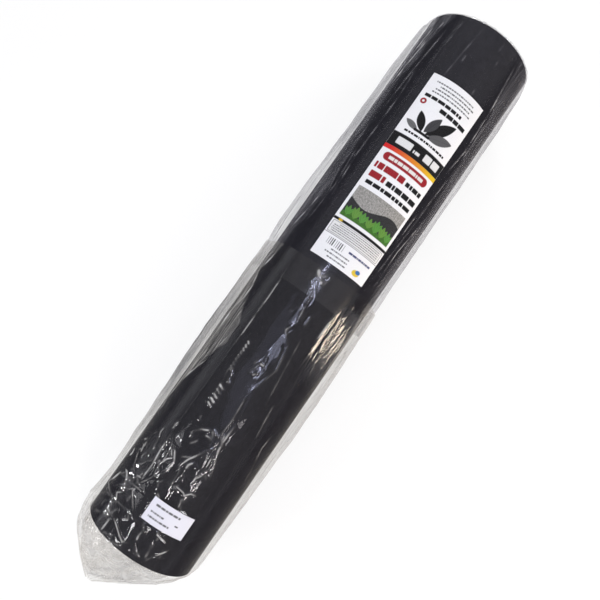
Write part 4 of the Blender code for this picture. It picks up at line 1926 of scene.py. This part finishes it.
    def pillow(self) -> Array:
        """Gather the film past the roll into a level seal.

        Returns:
            The points of the closed end.
        """
        last, low, high = self.last_ring()
        share = np.linspace(0.0, 1.0, self.pillow_rows + 1)[1:, None]
        narrow, bulge = smooth_step(0.0, 1.0, share), (1.0 - share) ** 0.5
        near = low[1] + (-self.seal_width / 2.0 - low[1]) * narrow
        far = high[1] + (self.seal_width / 2.0 - high[1]) * narrow
        middle, half = self.section.roll.axis_height, self.seal_half_gap
        bottom = middle - half + (low[2] - middle + half) * bulge
        top = middle + half + (high[2] - middle - half) * bulge
        y = near + (last[:, 1] - low[1]) / (high[1] - low[1]) * (far - near)
        z = bottom + (last[:, 2] - low[2]) / (high[2] - low[2]) * (top - bottom)
        along = self.section.end + self.pillow_depth * share
        smooth = GridSurface(np.stack(np.broadcast_arrays(along, y, z), axis=-1))
        pleats, crush = self.field(along, self.PLEATS) - 0.5, self.field(along, self.CRUSH) - 0.5
        swell = np.sin(math.pi * np.clip(share, 0.0, 1.0)) ** 0.7
        points = smooth.points + smooth.normals() * ((3.2 * pleats + 2.2 * crush) * MM * swell)[..., None]
        points[..., 2] = np.maximum(points[..., 2], 0.2 * MM)
        seal_share = np.linspace(0.0, 1.0, self.seal_rows + 1)[1:, None]
        seal = np.repeat(points[-1][None], seal_share.size, axis=0)
        seal[..., 0] += self.seal_depth * seal_share
        ribs = 0.35 * MM * np.sin(seal_share * 8.0 * math.pi)
        wave = 1.6 * MM * np.sin(points[-1][None, :, 1] / 0.019) * (0.4 + 0.6 * seal_share)
        seal[..., 2] += ribs + wave
        return np.concatenate([points, seal])

    def build(self) -> Piece:
        """Build the bag.

        Returns:
            The bag.
        """
        mouth, end = self.section.mouth, self.section.end
        along = np.append(np.arange(mouth, end - 1.0 * MM, self.row_step), end)[:, None]
        points = np.concatenate([self.covered(along), self.pillow()])
        covers = {
            "haze": (self.haze, 2.2),
            "painted_highlight_and_milk": (self.painted_crest_highlights, 0.0),
            "painted_shade_and_reflection": (self.painted_shade_and_reflection, 0.0),
            "gloss": (self.gloss, 0.8),
        }
        looks = {}
        for look, (values, past) in covers.items():
            grid = np.full(points.shape[:2], past)
            grid[: along.size] = values(along)
            looks[look] = [grid[::-1]]
        made = self.dress("upper_film_bag", [GridSurface(points[::-1])], looks, Body.UPPER_BAG)
        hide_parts("upper_bag_film")
        return made


CAMERA_PLACE = (-0.0956, 0.0, 1.13394)


def mirrored_in_film(along: float, degrees: float, distance: float) -> Place:
    """Where a lamp stands that the smooth film mirrors to the camera.

    Args:
        along: Place of its reflection along the roll, in millimetres.
        degrees: Angle of its reflection round the roll.
        distance: Distance from there to the lamp.

    Returns:
        The lamp's place.
    """
    roll = Roll()
    angle = math.radians(degrees)
    out = Vector((0.0, math.sin(angle), math.cos(angle)))
    spot = Vector((along * MM, 0.0, roll.axis_height)) + out * (roll.radius + FILM_GAP)
    to_camera = (Vector(CAMERA_PLACE) - spot).normalized()
    return tuple(spot + (2.0 * out.dot(to_camera) * out - to_camera) * distance)


@dataclass(frozen=True)
class Lamp:
    """A soft square or oblong lamp that faces a point of the roll.

    Its share is how bright it alone makes a white sheet on top of the roll. The film mirrors it unless that
    is said not to be so.
    """

    name: str
    place: Place
    size: Span
    share: float
    colour: Colour = (1.0, 1.0, 1.0)
    target: Place = (0.0, 0.0, 0.1)
    mirrored: bool = True

    LEAST_SLOPE = 0.15

    def build(self) -> Piece:
        """Make the lamp.

        Returns:
            The lamp, linked to the scene.
        """
        lamp = bpy.data.lights.new(self.name, "AREA")
        lamp.shape = "RECTANGLE"
        lamp.size, lamp.size_y = self.size
        lamp.color = self.colour
        line = Vector(self.place) - Vector(self.target)
        slope = max(line.normalized().z, self.LEAST_SLOPE)
        lamp.energy = self.share * math.pi**2 * line.length_squared / slope
        made = bpy.data.objects.new(self.name, lamp)
        made.location = self.place
        made.rotation_euler = line.to_track_quat("Z", "Y").to_euler()
        made.visible_glossy = self.mirrored
        bpy.context.scene.collection.objects.link(made)
        return made


@dataclass(frozen=True)
class Studio:
    """The camera, the pale floor and the soft light."""

    sensor_width: float = 36.0
    lens: float = 36.462
    camera_turn: Place = (3.299, -1.7, -55.199)
    floor_half_side: float = 25.0
    floor_depth: float = 0.3 * MM
    floor_colour: Colour = (0.95, 0.95, 0.95)
    floor_glow: float = 0.8
    room_light: float = 0.2
    room_colour: Colour = (0.98, 0.99, 1.0)
    wall_foot: float = 0.12
    wall_top: float = 0.42

    BLUE = (0.72, 0.76, 1.0)
    VEIL_BLUE = (0.68, 0.72, 1.0)
    ROSE = (1.0, 0.95, 0.95)
    MIDDLE = (-0.1, 0.0, 0.1)
    RIDGE = (-0.05, 0.0, 0.15)

    def lamps(self) -> list[Lamp]:
        """Set out four lamps at the corners, one over the label, and those of the film's highlights.

        Returns:
            The lamps.
        """
        made = [
            Lamp("foot_far_side", (-1.7, -0.95, 1.05), (0.5, 0.5), 0.12),
            Lamp("foot_edge_side", (-1.7, 0.95, 1.05), (0.5, 0.5), 0.12),
            Lamp("head_far_side", (1.9, -0.75, 0.95), (0.5, 0.5), 0.12),
            Lamp("head_edge_side", (1.9, 0.75, 0.95), (0.5, 0.5), 0.12),
            Lamp("label_fill", (0.75, 0.35, 1.4), (0.7, 0.5), 0.18, target=(0.3, 0.0, 0.15), mirrored=False),
            Lamp("over_middle", mirrored_in_film(-95, -2, 1.2), (0.42, 0.24), 0.065, self.BLUE, self.MIDDLE),
        ]
        place = mirrored_in_film(-165, 1, 1.2)
        for n in range(4):
            size, share = (1.04 - 0.14 * n, 0.38 - 0.07 * n), 0.03 - 0.007 * n
            made.append(Lamp(f"blue_veil_{n}", place, size, share, self.VEIL_BLUE, self.MIDDLE))
        made += [
            Lamp("blue_glint", mirrored_in_film(-60, -2, 1.3), (0.24, 0.04), 0.03, self.BLUE),
            Lamp("blue_spot", mirrored_in_film(-152, 0, 1.3), (0.08, 0.08), 0.022, self.BLUE),
            Lamp("blue_point", mirrored_in_film(12, 2, 1.3), (0.13, 0.1), 0.045, self.BLUE),
            Lamp("cluster_glint", mirrored_in_film(-445, 42, 1.5), (0.11, 0.11), 0.023),
            Lamp("kite_soft", mirrored_in_film(-360, 22, 1.4), (0.36, 0.36), 0.02),
            Lamp("kite_glint", mirrored_in_film(-360, 22, 1.5), (0.12, 0.12), 0.031),
            Lamp("patch_glint", mirrored_in_film(-400, 0, 1.5), (0.1, 0.1), 0.025, (1.0, 0.95, 0.96)),
            Lamp("wedge_soft", mirrored_in_film(-320, -13, 1.4), (0.4, 0.14), 0.035, self.ROSE),
            Lamp("wedge_glint", mirrored_in_film(-325, -12, 1.5), (0.26, 0.1), 0.058, self.ROSE),
            Lamp("foot_glint", mirrored_in_film(-475, 12, 1.5), (0.12, 0.12), 0.025),
            Lamp("warm_strip", (0.0, -1.35, 0.6), (0.16, 0.26), 0.07, (1.0, 0.86, 0.66), self.RIDGE),
            Lamp("warm_low", (0.0, -1.35, 0.22), (0.22, 0.18), 0.045, (1.0, 0.86, 0.7), self.RIDGE),
        ]
        return made

    def camera(self) -> Piece:
        """Place the camera where the photograph was taken.

        Returns:
            The camera.
        """
        data = bpy.data.cameras.new("photo_camera")
        data.sensor_width = self.sensor_width
        data.lens = self.lens
        made = bpy.data.objects.new("photo_camera", data)
        made.location = CAMERA_PLACE
        made.rotation_euler = Euler([math.radians(angle) for angle in self.camera_turn], "XYZ")
        bpy.context.scene.collection.objects.link(made)
        bpy.context.scene.camera = made
        return made

    def floor(self) -> Piece:
        """Lay the pale floor, which keeps the shadow and is nearly white to the camera.

        Returns:
            The floor.
        """
        side = self.floor_half_side
        points = np.array([(-side, -side, 0.0), (side, -side, 0.0), (side, side, 0.0), (-side, side, 0.0)])
        graph = NodeGraph("pale_floor")
        path = graph.add("LightPath")
        seen = graph.math("ADD", path.outputs["Is Camera Ray"], path.outputs["Is Glossy Ray"])
        seen = graph.math("ADD", seen, path.outputs["Is Transmission Ray"], clamp=True)
        grain = graph.add("TexNoise", Vector=graph.stretched((1.0, 1.0, 1.0)), Scale=300.0, Detail=3.0)
        bump = graph.add("Bump", Strength=0.05, Distance=0.2 * MM, Height=grain.outputs["Fac"])
        paper = graph.add("BsdfDiffuse", Color=(*self.floor_colour, 1.0), Normal=bump.outputs["Normal"])
        white = graph.add("Emission", Color=(1.0, 1.0, 1.0, 1.0), Strength=1.0)
        glow = graph.math("MULTIPLY", seen, self.floor_glow)
        material = graph.finish(graph.mix_shaders(glow, paper.outputs[0], white.outputs[0]))
        points = points - (0.0, 0.0, self.floor_depth)
        made = mesh_object("pale_floor", points, np.array([[0, 1, 2, 3]]), material)
        return made

    def sky(self) -> None:
        """Give the room a dim even light, and low white walls to what is seen directly or mirrored."""
        world = bpy.data.worlds.new("studio_room")
        world.use_nodes = True
        tree = world.node_tree
        light = tree.nodes["Background"]
        light.inputs["Color"].default_value = (*self.room_colour, 1.0)
        path = tree.nodes.new("ShaderNodeLightPath")
        place = tree.nodes.new("ShaderNodeSeparateXYZ")
        tree.links.new(tree.nodes.new("ShaderNodeTexCoord").outputs["Generated"], place.inputs[0])
        wall = tree.nodes.new("ShaderNodeMapRange")
        wall.interpolation_type = "SMOOTHSTEP"
        wall.inputs["From Min"].default_value = self.wall_top
        wall.inputs["From Max"].default_value = self.wall_foot
        wall.inputs["To Max"].default_value = 1.0 - self.room_light
        tree.links.new(place.outputs["Z"], wall.inputs["Value"])
        seen = path.outputs["Is Camera Ray"]
        for name in ("Is Glossy Ray", "Is Transmission Ray"):
            both = tree.nodes.new("ShaderNodeMath")
            both.operation = "MAXIMUM"
            tree.links.new(seen, both.inputs[0])
            tree.links.new(path.outputs[name], both.inputs[1])
            seen = both.outputs[0]
        strength = tree.nodes.new("ShaderNodeMath")
        strength.operation = "MULTIPLY_ADD"
        strength.inputs[2].default_value = self.room_light
        tree.links.new(seen, strength.inputs[0])
        tree.links.new(wall.outputs["Result"], strength.inputs[1])
        tree.links.new(strength.outputs[0], light.inputs["Strength"])
        bpy.context.scene.world = world

    def build(self) -> None:
        """Build the studio."""
        self.camera()
        self.floor()
        self.sky()
        for lamp in self.lamps():
            lamp.build()
        bpy.context.scene.view_settings.view_transform = "Standard"


def main() -> None:
    """Build the studio and every piece of the roll, in order."""
    logging.basicConfig(level=logging.INFO, format="%(name)s: %(message)s")
    roll = Roll()
    Studio().build()
    makers = (
        CoreTube(roll, KraftFinish()),
        WoundSheet(roll, NonwovenFinish()),
        LabelInsert(roll, PrintedPaperFinish("label_paper")),
        UpperBag(),
        LowerBag(),
        ShippingSticker(roll, PrintedPaperFinish("sticker_paper", 0.5)),
    )
    for maker in makers:
        piece = maker.build()
        LOG.info("%s: %d faces", piece.name, len(piece.data.polygons))


if __name__ == "__main__":
    main()
